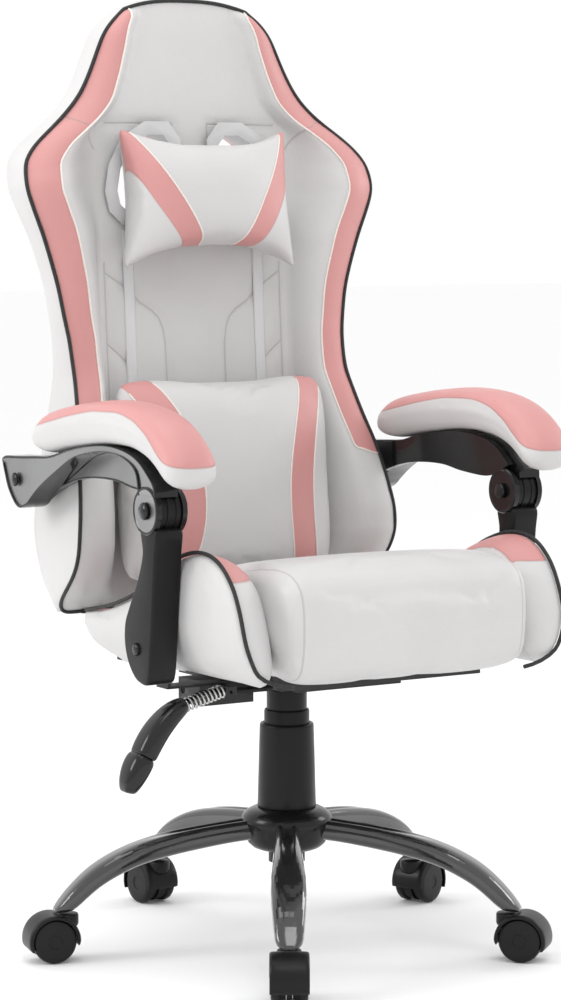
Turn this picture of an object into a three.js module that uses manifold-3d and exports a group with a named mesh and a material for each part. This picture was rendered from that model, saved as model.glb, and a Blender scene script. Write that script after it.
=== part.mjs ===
// A gaming chair: five-legged base on twin-wheel casters, gas lift, padded seat and reclining back,
// with armrests that hang between the back and the seat. Millimetres, +Z up, the sitter faces -Y.
// Everything is laid out about the gas lift's axis, and the finished chair is then moved so that
// its origin is the middle of its footprint, on the floor. Left and right are the sitter's.

import * as THREE from 'three';
import { mergeVertices } from 'three/addons/utils/BufferGeometryUtils.js';
import Module from 'manifold-3d';

const wasm = await Module();
wasm.setup();

// Driving dimensions.
const GAP = 0.3;
const STEM_CIRCLE_RADIUS = 300;
const BASE_TURN = -31.8;
const WHEEL_RADIUS = 28.5;
const WHEEL_CENTRE_Z = 40;
const WHEEL_WIDTH = 20;
const WHEEL_SIDES = 16;
const PIN_SIDES = 10;
const DISC_SIDES = 16;
const SLEEVE_SIDES = 20;
const CASTER_TRAIL = 20;
const CASTER_WEB = 8;
const LEG_END_UNDERSIDE = 74;
const STEM_RADIUS = 5.5;
const COLUMN_RADIUS = 24;
const PISTON_RADIUS = 14;
const HUB_TOP = 195;
const SEAT_HALF_WIDTH = 245.5;
const CUSHION_HALF_WIDTH = 183.5;
const FRAME_TOP = 403.7;
const MECHANISM_TOP = 384.2;
const CORE_HALF_WIDTH = 150;
const BACK_BOTTOM = 447.5;
const SHOULDER_Z = 985;
const RECLINE_Y = 150;
const RECLINE_Z = 430;
const REAR_PIVOT = { y: 203, z: 625 };
const KNUCKLE = { y: -136, z: 610 };
const LINK_PIVOT = { y: -112, z: 437 };
const ARM_INNER_X = 247;
const ARM_OUTER_X = 292;
const PAD_CENTRE_X = 268;
const PAD_HALF_WIDTH = 38;
const CHEEK_WIDTH = 7.5;
const BOLT_RADIUS = 5;
const TRIM_FLANGE = 15;
const LEVER_Y = -131;
const LEVER_PIVOT = { x: -170, z: 380.5 };

// Materials.
const finishes = {
  whiteLeather: { color: 0xeceae8, roughness: 0.55, metalness: 0 },
  pinkLeather: { color: 0xd98f92, roughness: 0.5, metalness: 0 },
  webbing: { color: 0xdcdad8, roughness: 0.7, metalness: 0 },
  trimPlastic: { color: 0xe2e0de, roughness: 0.45, metalness: 0 },
  blackPlastic: { color: 0x1c1c1d, roughness: 0.45, metalness: 0 },
  glossPlastic: { color: 0x2a2a2c, roughness: 0.2, metalness: 0.1 },
  blackSteel: { color: 0x242426, roughness: 0.3, metalness: 0.6 },
  brightSteel: { color: 0xb9babd, roughness: 0.25, metalness: 0.95 },
  wheelPlastic: { color: 0x202022, roughness: 0.4, metalness: 0 },
};

const chair = new THREE.Group();

function addPart(name, geometry, finish) {
  const flat = geometry.index ? geometry.toNonIndexed() : geometry;
  flat.computeVertexNormals();
  const mesh = new THREE.Mesh(flat, new THREE.MeshStandardMaterial(finishes[finish]));
  mesh.name = name;
  chair.add(mesh);
  return mesh;
}

// Geometry helpers.
const vec = (x, y, z) => new THREE.Vector3(x, y, z);

function moved(geometry, x, y, z) {
  return geometry.clone().translate(x, y, z);
}

function mirrored(geometry) {
  const copy = (geometry.index ? geometry.toNonIndexed() : geometry).clone().scale(-1, 1, 1);
  const p = copy.attributes.position.array;
  for (let i = 0; i < p.length; i += 9) {
    for (let k = 0; k < 3; k++) {
      [p[i + 3 + k], p[i + 6 + k]] = [p[i + 6 + k], p[i + 3 + k]];
    }
  }
  return copy;
}

function bareMerged(geometry) {
  const bare = new THREE.BufferGeometry();
  const source = geometry.index ? geometry.toNonIndexed() : geometry;
  bare.setAttribute('position', source.attributes.position.clone());
  return mergeVertices(bare, 1e-3);
}

function toSolid(geometry) {
  const merged = bareMerged(geometry);
  return new wasm.Manifold(new wasm.Mesh({
    numProp: 3,
    vertProperties: new Float32Array(merged.attributes.position.array),
    triVerts: new Uint32Array(merged.index.array),
  }));
}

function fromSolid(solid) {
  const mesh = solid.getMesh();
  const geometry = new THREE.BufferGeometry();
  geometry.setAttribute('position', new THREE.BufferAttribute(new Float32Array(mesh.vertProperties), 3));
  geometry.setIndex(new THREE.BufferAttribute(new Uint32Array(mesh.triVerts), 1));
  return geometry;
}

function join(...geometries) {
  return fromSolid(geometries.map(toSolid).reduce((whole, piece) => whole.add(piece)));
}

function cut(geometry, ...tools) {
  return fromSolid(tools.map(toSolid).reduce((whole, tool) => whole.subtract(tool), toSolid(geometry)));
}

function signedVolume(positions) {
  let sum = 0;
  for (let i = 0; i < positions.length; i += 9) {
    const [a, b, c] = [0, 3, 6].map((k) => vec(...positions.slice(i + k, i + k + 3)));
    sum += a.dot(b.cross(c));
  }
  return sum;
}

// A closed solid through a list of rings, each a list of [x, y, z] with the same count.
function loft(rings) {
  const count = rings[0].length;
  const positions = [];
  const triangle = (a, b, c) => positions.push(...a, ...b, ...c);
  for (let level = 0; level + 1 < rings.length; level++) {
    for (let i = 0; i < count; i++) {
      const j = (i + 1) % count;
      triangle(rings[level][i], rings[level][j], rings[level + 1][j]);
      triangle(rings[level][i], rings[level + 1][j], rings[level + 1][i]);
    }
  }
  const last = rings[rings.length - 1];
  const middle = (ring) => [0, 1, 2].map((k) => ring.reduce((sum, p) => sum + p[k], 0) / count);
  const [start, end] = [middle(rings[0]), middle(last)];
  for (let i = 0; i < count; i++) {
    const j = (i + 1) % count;
    triangle(rings[0][j], rings[0][i], start);
    triangle(last[i], last[j], end);
  }
  if (signedVolume(positions) < 0) {
    for (let i = 0; i < positions.length; i += 9) {
      for (let k = 0; k < 3; k++) {
        [positions[i + 3 + k], positions[i + 6 + k]] = [positions[i + 6 + k], positions[i + 3 + k]];
      }
    }
  }
  const geometry = new THREE.BufferGeometry();
  geometry.setAttribute('position', new THREE.Float32BufferAttribute(positions, 3));
  return geometry;
}

// Points round a superellipse with half sizes a and b, as [u, v] pairs.
function superellipse(a, b, power, count) {
  return Array.from({ length: count }, (_, i) => {
    const t = (2 * Math.PI * (i + 0.5)) / count;
    const [c, s] = [Math.cos(t), Math.sin(t)];
    return [
      a * Math.sign(c) * Math.abs(c) ** (2 / power),
      b * Math.sign(s) * Math.abs(s) ** (2 / power),
    ];
  });
}

function lerpTable(table, at) {
  const next = Math.max(1, table.findIndex(([key]) => key >= at));
  const index = at > table[table.length - 1][0] ? table.length - 1 : next;
  const [[k0, v0], [k1, v1]] = [table[index - 1], table[index]];
  const t = THREE.MathUtils.clamp((at - k0) / (k1 - k0), 0, 1);
  return v0 + (v1 - v0) * t;
}

function box(x0, x1, y0, y1, z0, z1) {
  const geometry = new THREE.BoxGeometry(x1 - x0, y1 - y0, z1 - z0);
  return moved(geometry, (x0 + x1) / 2, (y0 + y1) / 2, (z0 + z1) / 2);
}

// A solid turned about Z from [radius, z] pairs that start and end on the axis or close on themselves.
function turned(profile, sides) {
  const geometry = new THREE.LatheGeometry(profile.map(([r, z]) => new THREE.Vector2(r, z)), sides);
  return geometry.rotateX(Math.PI / 2).toNonIndexed();
}

function tube(inner, outer, z0, z1, sides) {
  return turned([[inner, z0], [outer, z0], [outer, z1], [inner, z1], [inner, z0]], sides);
}

function rod(radius, x0, x1, y, z, sides = 16) {
  const geometry = new THREE.CylinderGeometry(radius, radius, x1 - x0, sides);
  return moved(geometry.rotateZ(Math.PI / 2), (x0 + x1) / 2, y, z);
}

// A side outline given as [y, z] points, extruded along X from x0 to x1, with rounded edges.
function sidePlate(outline, x0, x1, bevel = 0, holes = []) {
  const shape = outline instanceof THREE.Shape ? outline : new THREE.Shape(outline.map(([y, z]) => new THREE.Vector2(y, z)));
  shape.holes.push(...holes);
  const geometry = new THREE.ExtrudeGeometry(shape, {
    depth: x1 - x0 - 2 * bevel,
    bevelEnabled: bevel > 0,
    bevelSize: bevel,
    bevelThickness: bevel,
    bevelOffset: -bevel,
    bevelSegments: bevel > 7.5 ? 2 : 1,
    curveSegments: 5,
  });
  geometry.translate(0, 0, x0 + bevel);
  const basis = new THREE.Matrix4().makeBasis(vec(0, 1, 0), vec(0, 0, 1), vec(1, 0, 0));
  return geometry.applyMatrix4(basis);
}

function splinePoints(points, count) {
  const curve = new THREE.SplineCurve(points.map(([u, v]) => new THREE.Vector2(u, v)));
  return curve.getPoints(count).map((p) => [p.x, p.y]);
}

// Base: a drum-shaped hub with five tapered legs, each ending in a socket for a caster stem.
const hubProfile = [
  [24.4, 139], [38, 139], [51, 147], [56, 161], [61, 173], [60, 182], [53, 190], [43, HUB_TOP],
];

function hub() {
  return turned([...hubProfile, [24.4, HUB_TOP], [24.4, 139]], 24);
}

function hubCutter() {
  const grown = hubProfile.map(([r, z], i) => [i === 0 ? 0 : r + 2 * GAP, z + (i < 2 ? -8 : 0)]);
  return turned([...grown, [30, HUB_TOP + 5], [0, HUB_TOP + 5]], 24);
}

const legStations = [
  { r: 46, top: 182.5, bottom: 154, width: 34 },
  { r: 72, top: 180, bottom: 152, width: 34 },
  { r: 120, top: 175.5, bottom: 146, width: 36 },
  { r: 170, top: 168, bottom: 138, width: 41 },
  { r: 205, top: 159.5, bottom: 130, width: 45 },
  { r: 235, top: 148, bottom: 117.5, width: 47 },
  { r: 258, top: 136, bottom: 105, width: 46 },
  { r: 278, top: 122, bottom: 88, width: 43 },
  { r: 292, top: 109, bottom: LEG_END_UNDERSIDE + 2, width: 40 },
  { r: 304, top: 96, bottom: LEG_END_UNDERSIDE, width: 37 },
  { r: 314, top: 81, bottom: LEG_END_UNDERSIDE, width: 28 },
];

function leg() {
  const rings = legStations.map(({ r, top, bottom, width }) =>
    superellipse(width / 2, (top - bottom) / 2, 2.6, 10).map(([u, v]) => [u, -r, (top + bottom) / 2 + v]));
  const socket = moved(new THREE.CylinderGeometry(STEM_RADIUS + 0.5, STEM_RADIUS + 0.5, 30, 10).rotateX(Math.PI / 2),
    0, -STEM_CIRCLE_RADIUS, LEG_END_UNDERSIDE);
  return cut(loft(rings), hubCutter(), socket);
}

// Casters: a hood with its stem, web and axle in one piece, and two wheels.
function casterHood() {
  const fenderOuter = WHEEL_RADIUS + 4.5;
  const fenderInner = WHEEL_RADIUS + 1.8;
  const [from, to] = [-0.05 * Math.PI, 1.12 * Math.PI];
  const fender = new THREE.Shape();
  fender.absarc(0, 0, fenderOuter, from, to, false);
  fender.absarc(0, 0, fenderInner, to, from, true);
  const halfWidth = WHEEL_WIDTH + CASTER_WEB / 2 + 1;
  const shell = sidePlate(fender, -halfWidth, halfWidth);
  const web = rod(fenderInner + 1, -CASTER_WEB / 2 + 0.5, CASTER_WEB / 2 - 0.5, 0, 0, DISC_SIDES);
  const belowWeb = box(-50, 50, -60, 60, -60, -12);
  const axle = rod(4, -WHEEL_WIDTH + 2, WHEEL_WIDTH - 2, 0, 0, PIN_SIDES);
  const neck = turned([[0, 16], [16, 16], [16, 33], [0, 33]], PIN_SIDES);
  const stem = turned([[0, 30], [STEM_RADIUS, 30], [STEM_RADIUS, 47], [0, 47]], 8);
  const wheelRoom = [-1, 1].map((side) => {
    const near = CASTER_WEB / 2 - 0.5 + 0.1;
    const far = WHEEL_WIDTH + CASTER_WEB / 2 + 0.5;
    return side < 0 ? rod(fenderInner, -far, -near, 0, 0, DISC_SIDES) : rod(fenderInner, near, far, 0, 0, DISC_SIDES);
  });
  const head = cut(moved(neck, 0, CASTER_TRAIL, 0), ...wheelRoom);
  const body = join(shell, cut(web, belowWeb), head, moved(stem, 0, CASTER_TRAIL, 0), axle);
  return moved(body, 0, -CASTER_TRAIL, WHEEL_CENTRE_Z);
}

function casterWheel(side) {
  const rim = WHEEL_RADIUS / Math.cos(Math.PI / WHEEL_SIDES);
  const profile = [
    [0, 15], [4.4, 15], [4.4, 0], [25.5, 0], [rim, 3], [rim, 16], [25, WHEEL_WIDTH], [0, WHEEL_WIDTH],
  ];
  const wheel = new THREE.LatheGeometry(profile.map(([r, x]) => new THREE.Vector2(r, x)), WHEEL_SIDES);
  wheel.rotateY(Math.PI / WHEEL_SIDES).rotateZ(-Math.PI / 2);
  const placed = moved(wheel.toNonIndexed(), CASTER_WEB / 2, -CASTER_TRAIL, WHEEL_CENTRE_Z);
  return side > 0 ? placed : mirrored(placed);
}

function addBase() {
  addPart('base_hub', hub(), 'blackSteel');
  for (let i = 0; i < 5; i++) {
    const turn = THREE.MathUtils.degToRad(BASE_TURN + 72 * i);
    addPart(`base_leg_${i + 1}`, leg().rotateZ(turn), 'blackSteel');
    const seat = (geometry) => moved(geometry, 0, -STEM_CIRCLE_RADIUS, 0).rotateZ(turn);
    addPart(`caster_${i + 1}_hood`, seat(casterHood()), 'blackPlastic');
    addPart(`caster_${i + 1}_wheel_left`, seat(casterWheel(1)), 'wheelPlastic');
    addPart(`caster_${i + 1}_wheel_right`, seat(casterWheel(-1)), 'wheelPlastic');
  }
}

// Gas lift: an outer column in the hub, a piston that carries the seat, and a three-step cover.
function addLift() {
  addPart('lift_column', turned([
    [0, 122], [COLUMN_RADIUS, 122], [COLUMN_RADIUS, 296], [PISTON_RADIUS + 0.4, 296], [PISTON_RADIUS + 0.4, 127], [0, 127],
  ], SLEEVE_SIDES), 'blackSteel');
  addPart('lift_piston', turned([[0, 166], [PISTON_RADIUS, 166], [PISTON_RADIUS, 379], [0, 379]], DISC_SIDES), 'brightSteel');
  addPart('sleeve_lower', turned([
    [31.4, HUB_TOP + GAP], [38.6, HUB_TOP + GAP], [35.6, 302], [34.4, 306], [30.3, 306], [30.3, 301.5], [31.4, 300],
    [31.4, HUB_TOP + GAP],
  ], SLEEVE_SIDES), 'blackPlastic');
  addPart('sleeve_middle', turned([
    [27.6, 222], [29.8, 222], [29.8, 322], [28.8, 324.5], [27, 324.5], [27, 320], [27.6, 318], [27.6, 222],
  ], SLEEVE_SIDES), 'blackPlastic');
  addPart('sleeve_upper', tube(COLUMN_RADIUS + 0.6, 26.5, 232, 351, SLEEVE_SIDES), 'blackPlastic');
}

// Seat mechanism, its lever and the steel frame under the cushions.
function mechanism() {
  const tray = box(-100, 100, -90, 110, 367, MECHANISM_TOP);
  const front = box(-79, 79, -150, -85, 370.5, MECHANISM_TOP);
  const collar = turned([[0, 352], [29, 352], [34, 367.5], [0, 367.5]], DISC_SIDES);
  const bore = turned([[0, 340], [PISTON_RADIUS + 0.4, 340], [PISTON_RADIUS + 0.4, 379.5], [0, 379.5]], DISC_SIDES);
  return cut(join(tray, front, collar), bore);
}

function leverBracket() {
  const plate = box(-180, -100 - GAP, -79, -26, 352, MECHANISM_TOP);
  const inside = box(-177.5, -90, -76.5, -28.5, 345, MECHANISM_TOP - 3);
  const sideHole = rod(5.5, -190, -170, -37, 369, 14);
  const arm = box(-178, -162, LEVER_Y - 8, -70, MECHANISM_TOP - 1.2, MECHANISM_TOP);
  const lugs = [LEVER_Y - 8, LEVER_Y + 5].map((y) => box(-178, -162, y, y + 3, 372, MECHANISM_TOP));
  const pinHole = new THREE.CylinderGeometry(2.3, 2.3, 40, 10);
  const placedHole = moved(pinHole, LEVER_PIVOT.x, LEVER_Y, LEVER_PIVOT.z - 3);
  return cut(join(cut(plate, inside), arm, ...lugs), sideHole, placedHole);
}

const leverPath = [
  vec(-104, LEVER_Y, 377), vec(-150, LEVER_Y, 377.3), vec(-196, LEVER_Y, 378.5), vec(-212, LEVER_Y, 376.5),
  vec(-240, LEVER_Y - 2, 363), vec(-262, LEVER_Y - 3, 346),
];

function alongPath(points, radius, sides, steps) {
  const section = new THREE.Shape();
  section.setFromPoints(superellipse(radius, radius, 2, sides).map(([u, v]) => new THREE.Vector2(u, v)));
  const path = new THREE.CatmullRomCurve3(points);
  return new THREE.ExtrudeGeometry(section, { steps, extrudePath: path, bevelEnabled: false });
}

function leverRod() {
  const trunnion = moved(new THREE.CylinderGeometry(2, 2, 18, 10), LEVER_PIVOT.x, LEVER_Y, LEVER_PIVOT.z - 3);
  return join(alongPath(leverPath, 3.6, 6, 10), trunnion);
}

function leverSpring() {
  const [from, to] = [vec(-205, LEVER_Y, 377.6), vec(-234, LEVER_Y - 2, 366.2)];
  const along = to.clone().sub(from);
  const across = vec(0, 1, 0);
  const third = along.clone().normalize().cross(across).normalize();
  const turns = 6;
  const perTurn = 8;
  const points = Array.from({ length: turns * perTurn + 1 }, (_, i) => {
    const t = i / (turns * perTurn);
    const a = 2 * Math.PI * turns * t;
    return from.clone().addScaledVector(along, t)
      .addScaledVector(across, 7.6 * Math.cos(a)).addScaledVector(third, 7.6 * Math.sin(a));
  });
  return alongPath(points, 1.3, 4, turns * perTurn);
}

const gripStations = [
  { x: -236, z: 367, half: 9, thick: 8 },
  { x: -252, z: 360, half: 13, thick: 9.5 },
  { x: -270, z: 344, half: 15, thick: 10 },
  { x: -285, z: 325, half: 16, thick: 9.5 },
  { x: -295, z: 307, half: 15, thick: 8.5 },
];
const gripTipStations = [
  { x: -296, z: 305, half: 16, thick: 10 },
  { x: -305, z: 292, half: 16.5, thick: 9.5 },
  { x: -313, z: 276, half: 14, thick: 8 },
  { x: -317, z: 264, half: 9, thick: 5 },
];

function paddle(stations) {
  const centres = stations.map(({ x, z }) => vec(x, 0, z));
  const rings = stations.map(({ x, z, half, thick }, i) => {
    const ahead = centres[Math.min(i + 1, centres.length - 1)];
    const behind = centres[Math.max(i - 1, 0)];
    const direction = ahead.clone().sub(behind).normalize();
    const normal = vec(-direction.z, 0, direction.x);
    return superellipse(half, thick, 2.5, 10).map(([u, v]) =>
      [x + normal.x * v, LEVER_Y - 3 + u, z + normal.z * v]);
  });
  return loft(rings);
}

function leverGrip() {
  const bore = alongPath([vec(-225, LEVER_Y - 1, 370.5), ...leverPath.slice(4), vec(-266, LEVER_Y - 3, 342)], 4.4, 6, 5);
  return cut(paddle(gripStations), bore, alongPath([vec(-238, LEVER_Y - 2, 364), vec(-226, LEVER_Y - 1.3, 369.5)], 9.6, 8, 2));
}

function seatFrame() {
  const strap = box(-249.5, 249.5, -118, -90, MECHANISM_TOP + GAP, MECHANISM_TOP + 3.3);
  const rails = [-1, 1].map((side) => box(side * 120 - 12, side * 120 + 12, -225, 128, MECHANISM_TOP + 3, FRAME_TOP));
  const rear = box(-183, 183, 108, 128, 388, 402.5);
  const front = box(-150, 150, -225, -205, MECHANISM_TOP + 3, FRAME_TOP);
  const ears = [-1, 1].map((side) => {
    const outline = [[-118, MECHANISM_TOP + GAP], [-90, MECHANISM_TOP + GAP], [-96, 450], [-102, 456], [-122, 456], [-128, 450], [-128, 425]];
    const hole = new THREE.Path();
    hole.absarc(LINK_PIVOT.y, LINK_PIVOT.z, BOLT_RADIUS + 0.5, 0, 2 * Math.PI, true);
    const [inner, outer] = side > 0 ? [246.2, 249.5] : [-249.5, -246.2];
    return sidePlate(outline, inner, outer, 0, [hole]);
  });
  const plates = [-1, 1].map((side) => {
    const outline = new THREE.Shape();
    outline.moveTo(110, 388.5);
    outline.lineTo(127, 388.5);
    outline.lineTo(RECLINE_Y + 10, RECLINE_Z - 10);
    outline.absarc(RECLINE_Y, RECLINE_Z, 14, -Math.PI / 4, Math.PI * 0.9, false);
    outline.lineTo(123, 406);
    outline.lineTo(122, 402.4);
    outline.lineTo(110, 402.4);
    const hole = new THREE.Path();
    hole.absarc(RECLINE_Y, RECLINE_Z, 7.6, 0, 2 * Math.PI, true);
    const [inner, outer] = side > 0 ? [174, 178] : [-178, -174];
    return sidePlate(outline, inner, outer, 0, [hole]);
  });
  return join(strap, ...rails, rear, front, ...ears, ...plates);
}

function addMechanism() {
  addPart('mechanism_housing', mechanism(), 'blackSteel');
  addPart('seat_frame', seatFrame(), 'blackSteel');
  addPart('lever_bracket', leverBracket(), 'blackSteel');
  addPart('lever_rod', leverRod(), 'brightSteel');
  addPart('lever_spring', leverSpring(), 'brightSteel');
  addPart('lever_grip', leverGrip(), 'blackPlastic');
  addPart('lever_grip_tip', paddle(gripTipStations), 'blackPlastic');
  addPart('recline_shaft', rod(7, -186, 186, RECLINE_Y, RECLINE_Z, 16), 'brightSteel');
}

// Seat: a middle cushion between two side bolsters.
function seatCushion() {
  const outline = [
    [-299, 420], [-302, 460], [-301, 502], [-292, 525], [-270, 538], [-235, 542], [-180, 539], [-100, 528],
    [0, 503], [70, 486], [106, 479], [117, 472], [120, 460], [120, 412], [113, FRAME_TOP + GAP], [-284, FRAME_TOP + GAP],
  ];
  return sidePlate(outline, -CUSHION_HALF_WIDTH, CUSHION_HALF_WIDTH, 9);
}

function seatBolster(side) {
  const outline = [
    [-287, 430], [-284, 455], [-276, 485], [-262, 515], [-246, 535], [-222, 552], [-190, 560], [-150, 556],
    [-99, 538], [-35, 501], [9, 483], [55, 470], [112, 459], [125, 450], [130, 432], [126, 414], [112, 404],
    [72, 391], [0, 392], [-90, 396.5], [-180, 397], [-262, 400], [-282, 408], [-288, 418],
  ];
  const plate = sidePlate(outline, CUSHION_HALF_WIDTH + GAP, SEAT_HALF_WIDTH, 7);
  return side > 0 ? plate : mirrored(plate);
}

// Back: a core with a shoulder and head panel, and a deep wing down each side.
const outlineWidth = [
  [447, 230], [461, 238], [499, 244], [544, 247], [565, 246], [595, 242], [628, 237], [660, 231], [693, 224], [731, 217],
  [763, 213], [801, 214], [836, 219], [871, 225], [910, 236], [946, 248], [981, 262], [1009, 270], [1034, 268],
  [1059, 251], [1080, 225], [1101, 198], [1129, 171], [1156, 155], [1184, 142], [1212, 129], [1232, 111], [1242, 94],
  [1251, 68], [1257, 30],
];
const wingFront = [
  [447, 196], [461, 183], [480, 158], [499, 136], [520, 120], [544, 112], [565, 112], [595, 118], [628, 128], [660, 140],
  [693, 156], [731, 173], [763, 187], [801, 196], [836, 202], [871, 205], [910, 206], [985, 206], [1009, 208], [1034, 216],
  [1059, 223], [1080, 229], [1101, 238], [1129, 244], [1184, 250], [1232, 253], [1257, 262],
];
const coreFront = [
  [447, 195], [500, 203], [600, 215], [750, 228], [850, 235], [1000, 243], [1100, 246], [1200, 251], [1257, 264],
];
const backRear = [
  [447, 214], [470, 236], [500, 251], [580, 265], [700, 269], [800, 270], [900, 272], [1000, 285], [1100, 305],
  [1200, 317], [1240, 308], [1257, 288],
];

function coreRing(z, halfWidth, edgeFront) {
  const front = lerpTable(coreFront, z);
  const rear = lerpTable(backRear, z);
  const across = [-1, -0.86, -0.55, 0, 0.55, 0.86, 1];
  const frontPoints = across.map((s) => [s * halfWidth, front + (edgeFront - front) * s * s, z]);
  const edgeRear = Math.max(edgeFront + 8, rear - 0.5 * (rear - edgeFront) * (halfWidth > CORE_HALF_WIDTH ? 1 : 0));
  const rearPoints = across.map((s) => [-s * halfWidth * 0.995, rear + (edgeRear - rear) * s ** 4, z]);
  return [...frontPoints, ...rearPoints];
}

const harnessOutline = [
  [36, 978], [36, 1066], [47, 1080], [72, 1080], [100, 1063], [117, 1032], [122, 1002], [117, 982], [104, 971], [48, 969],
];

// A flat outline given as [x, z] points, extruded along +Y from y0 to y1.
function frontPlate(outline, y0, y1, holes = []) {
  const shape = new THREE.Shape(outline.map(([x, z]) => new THREE.Vector2(x, -z)));
  shape.holes.push(...holes.map((hole) => new THREE.Path(hole.map(([x, z]) => new THREE.Vector2(x, -z)))));
  const geometry = new THREE.ExtrudeGeometry(shape, { depth: y1 - y0, bevelEnabled: false });
  const basis = new THREE.Matrix4().makeBasis(vec(1, 0, 0), vec(0, 0, -1), vec(0, 1, 0));
  return geometry.applyMatrix4(basis).translate(0, y0, 0);
}

function offsetOutline(outline, distance) {
  const count = outline.length;
  const area = outline.reduce((sum, [x, z], i) => {
    const [nx, nz] = outline[(i + 1) % count];
    return sum + x * nz - nx * z;
  }, 0);
  const sign = area > 0 ? 1 : -1;
  const normals = outline.map(([x, z], i) => {
    const [nx, nz] = outline[(i + 1) % count];
    const length = Math.hypot(nx - x, nz - z);
    return [(sign * (nz - z)) / length, (-sign * (nx - x)) / length];
  });
  return outline.map(([x, z], i) => {
    const before = normals[(i + count - 1) % count];
    const after = normals[i];
    const [mx, mz] = [before[0] + after[0], before[1] + after[1]];
    const scale = (2 * distance) / (mx * mx + mz * mz);
    return [x + mx * scale, z + mz * scale];
  });
}

const trimFace = () => lerpTable(coreFront, 1000);
const flipped = (outline) => outline.map(([x, z]) => [-x, z]).reverse();

function backrest() {
  const lower = [BACK_BOTTOM, 500, 600, 750, 850, 940, SHOULDER_Z].map((z) =>
    coreRing(z, CORE_HALF_WIDTH, lerpTable(coreFront, z)));
  const upperLevels = [SHOULDER_Z + 0.4, 1009, 1034, 1059, 1080, 1101, 1129, 1160, 1190, 1212, 1232, 1246, 1256];
  const upper = upperLevels.map((z) => coreRing(z, lerpTable(outlineWidth, z), lerpTable(wingFront, z)));
  const cutters = [harnessOutline, flipped(harnessOutline)].flatMap((outline) => [
    frontPlate(outline, 180, 340),
    frontPlate(offsetOutline(outline, TRIM_FLANGE + GAP), 180, trimFace() - 4.9),
  ]);
  return cut(loft([...lower, ...upper]), ...cutters);
}

function backWing(side) {
  const levels = [BACK_BOTTOM, 461, 480, 499, 520, 544, 580, 628, 676, 731, 790, 850, 910, 950, SHOULDER_Z];
  const inner = CORE_HALF_WIDTH + GAP;
  const rings = levels.map((z) => {
    const outer = lerpTable(outlineWidth, z);
    const front = lerpTable(wingFront, z);
    const base = lerpTable(coreFront, z);
    const rear = lerpTable(backRear, z);
    const depth = rear - front;
    return [
      [inner, base + 1, z],
      [outer - 47, Math.min(front + 5, base - 1), z],
      [outer - 24, front - 1, z],
      [outer - 3, front, z],
      [outer, front + 4, z],
      [outer - 1, front + 0.45 * depth, z],
      [outer - 8, front + 0.82 * depth, z],
      [outer - 26, rear - 1, z],
      [inner, rear, z],
    ];
  });
  const wing = cut(loft(rings), box(-10, inner, 0, 400, 300, 1300));
  return side > 0 ? wing : mirrored(wing);
}

function harnessTrim(side) {
  const face = trimFace();
  const opening = offsetOutline(harnessOutline, -3);
  const ring = frontPlate(offsetOutline(harnessOutline, TRIM_FLANGE), face - 8, face - 5.2, [opening]);
  const sleeve = frontPlate(offsetOutline(harnessOutline, -GAP), face - 6, face + 32, [opening]);
  const trim = join(ring, sleeve);
  return side > 0 ? trim : mirrored(trim);
}

function strap(side) {
  const levels = [702, 760, 830, 900, 950];
  const rings = levels.map((z) => {
    const y = lerpTable(coreFront, z);
    return [[94, y - 2.4, z], [110, y - 2.4, z], [110, y - GAP, z], [94, y - GAP, z]];
  });
  const webbing = loft(rings);
  return side > 0 ? webbing : mirrored(webbing);
}

function headCushion() {
  const levels = [
    [903, 116, 10], [912, 124, 26], [932, 128, 52], [962, 129, 76], [1000, 128, 84], [1036, 130, 76], [1062, 133, 52],
    [1078, 135, 26], [1086, 134, 10],
  ];
  return loft(levels.map(([z, half, depth]) =>
    superellipse(half, depth / 2, 2.3, 16).map(([u, v]) => [u, 190 + v, z])));
}

function lumbarCushion() {
  const levels = [
    [478, 142, 24], [486, 155, 54], [505, 163, 80], [545, 166, 92], [620, 166, 97], [695, 164, 90], [735, 158, 66],
    [751, 148, 38], [757, 138, 20],
  ];
  return loft(levels.map(([z, half, depth]) => {
    const rear = lerpTable(coreFront, z) - 5;
    const middle = rear - 20 - 0.3 * depth;
    return superellipse(half, depth / 2, 2.8, 16).map(([u, v]) => {
      const narrow = v > 0 ? 1 - 0.09 * (v / (depth / 2)) : 1;
      return [u * narrow, Math.min(middle + v, rear), z];
    });
  }));
}

function backHingePlate(side) {
  const outline = new THREE.Shape();
  outline.moveTo(194, 443.5);
  outline.lineTo(192, BACK_BOTTOM - GAP);
  outline.lineTo(170, 446);
  outline.absarc(RECLINE_Y, RECLINE_Z, 14, Math.PI * 0.5, Math.PI * 1.6, false);
  outline.lineTo(186, 432);
  const hole = new THREE.Path();
  hole.absarc(RECLINE_Y, RECLINE_Z, 7.6, 0, 2 * Math.PI, true);
  const arm = sidePlate(outline, 178.5, 182.5, 0, [hole]);
  const foot = box(158, 200, 190, 212, 443, BACK_BOTTOM - GAP);
  const plate = join(arm, foot);
  return side > 0 ? plate : mirrored(plate);
}

function addSeatAndBack() {
  addPart('seat_cushion', seatCushion(), 'whiteLeather');
  addPart('backrest', backrest(), 'whiteLeather');
  addPart('head_cushion', headCushion(), 'whiteLeather');
  addPart('lumbar_cushion', lumbarCushion(), 'whiteLeather');
  for (const [label, side] of [['left', 1], ['right', -1]]) {
    addPart(`seat_bolster_${label}`, seatBolster(side), 'whiteLeather');
    addPart(`back_wing_${label}`, backWing(side), 'whiteLeather');
    addPart(`harness_trim_${label}`, harnessTrim(side), 'trimPlastic');
    addPart(`strap_${label}`, strap(side), 'webbing');
    addPart(`back_hinge_plate_${label}`, backHingePlate(side), 'blackSteel');
  }
}

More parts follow.
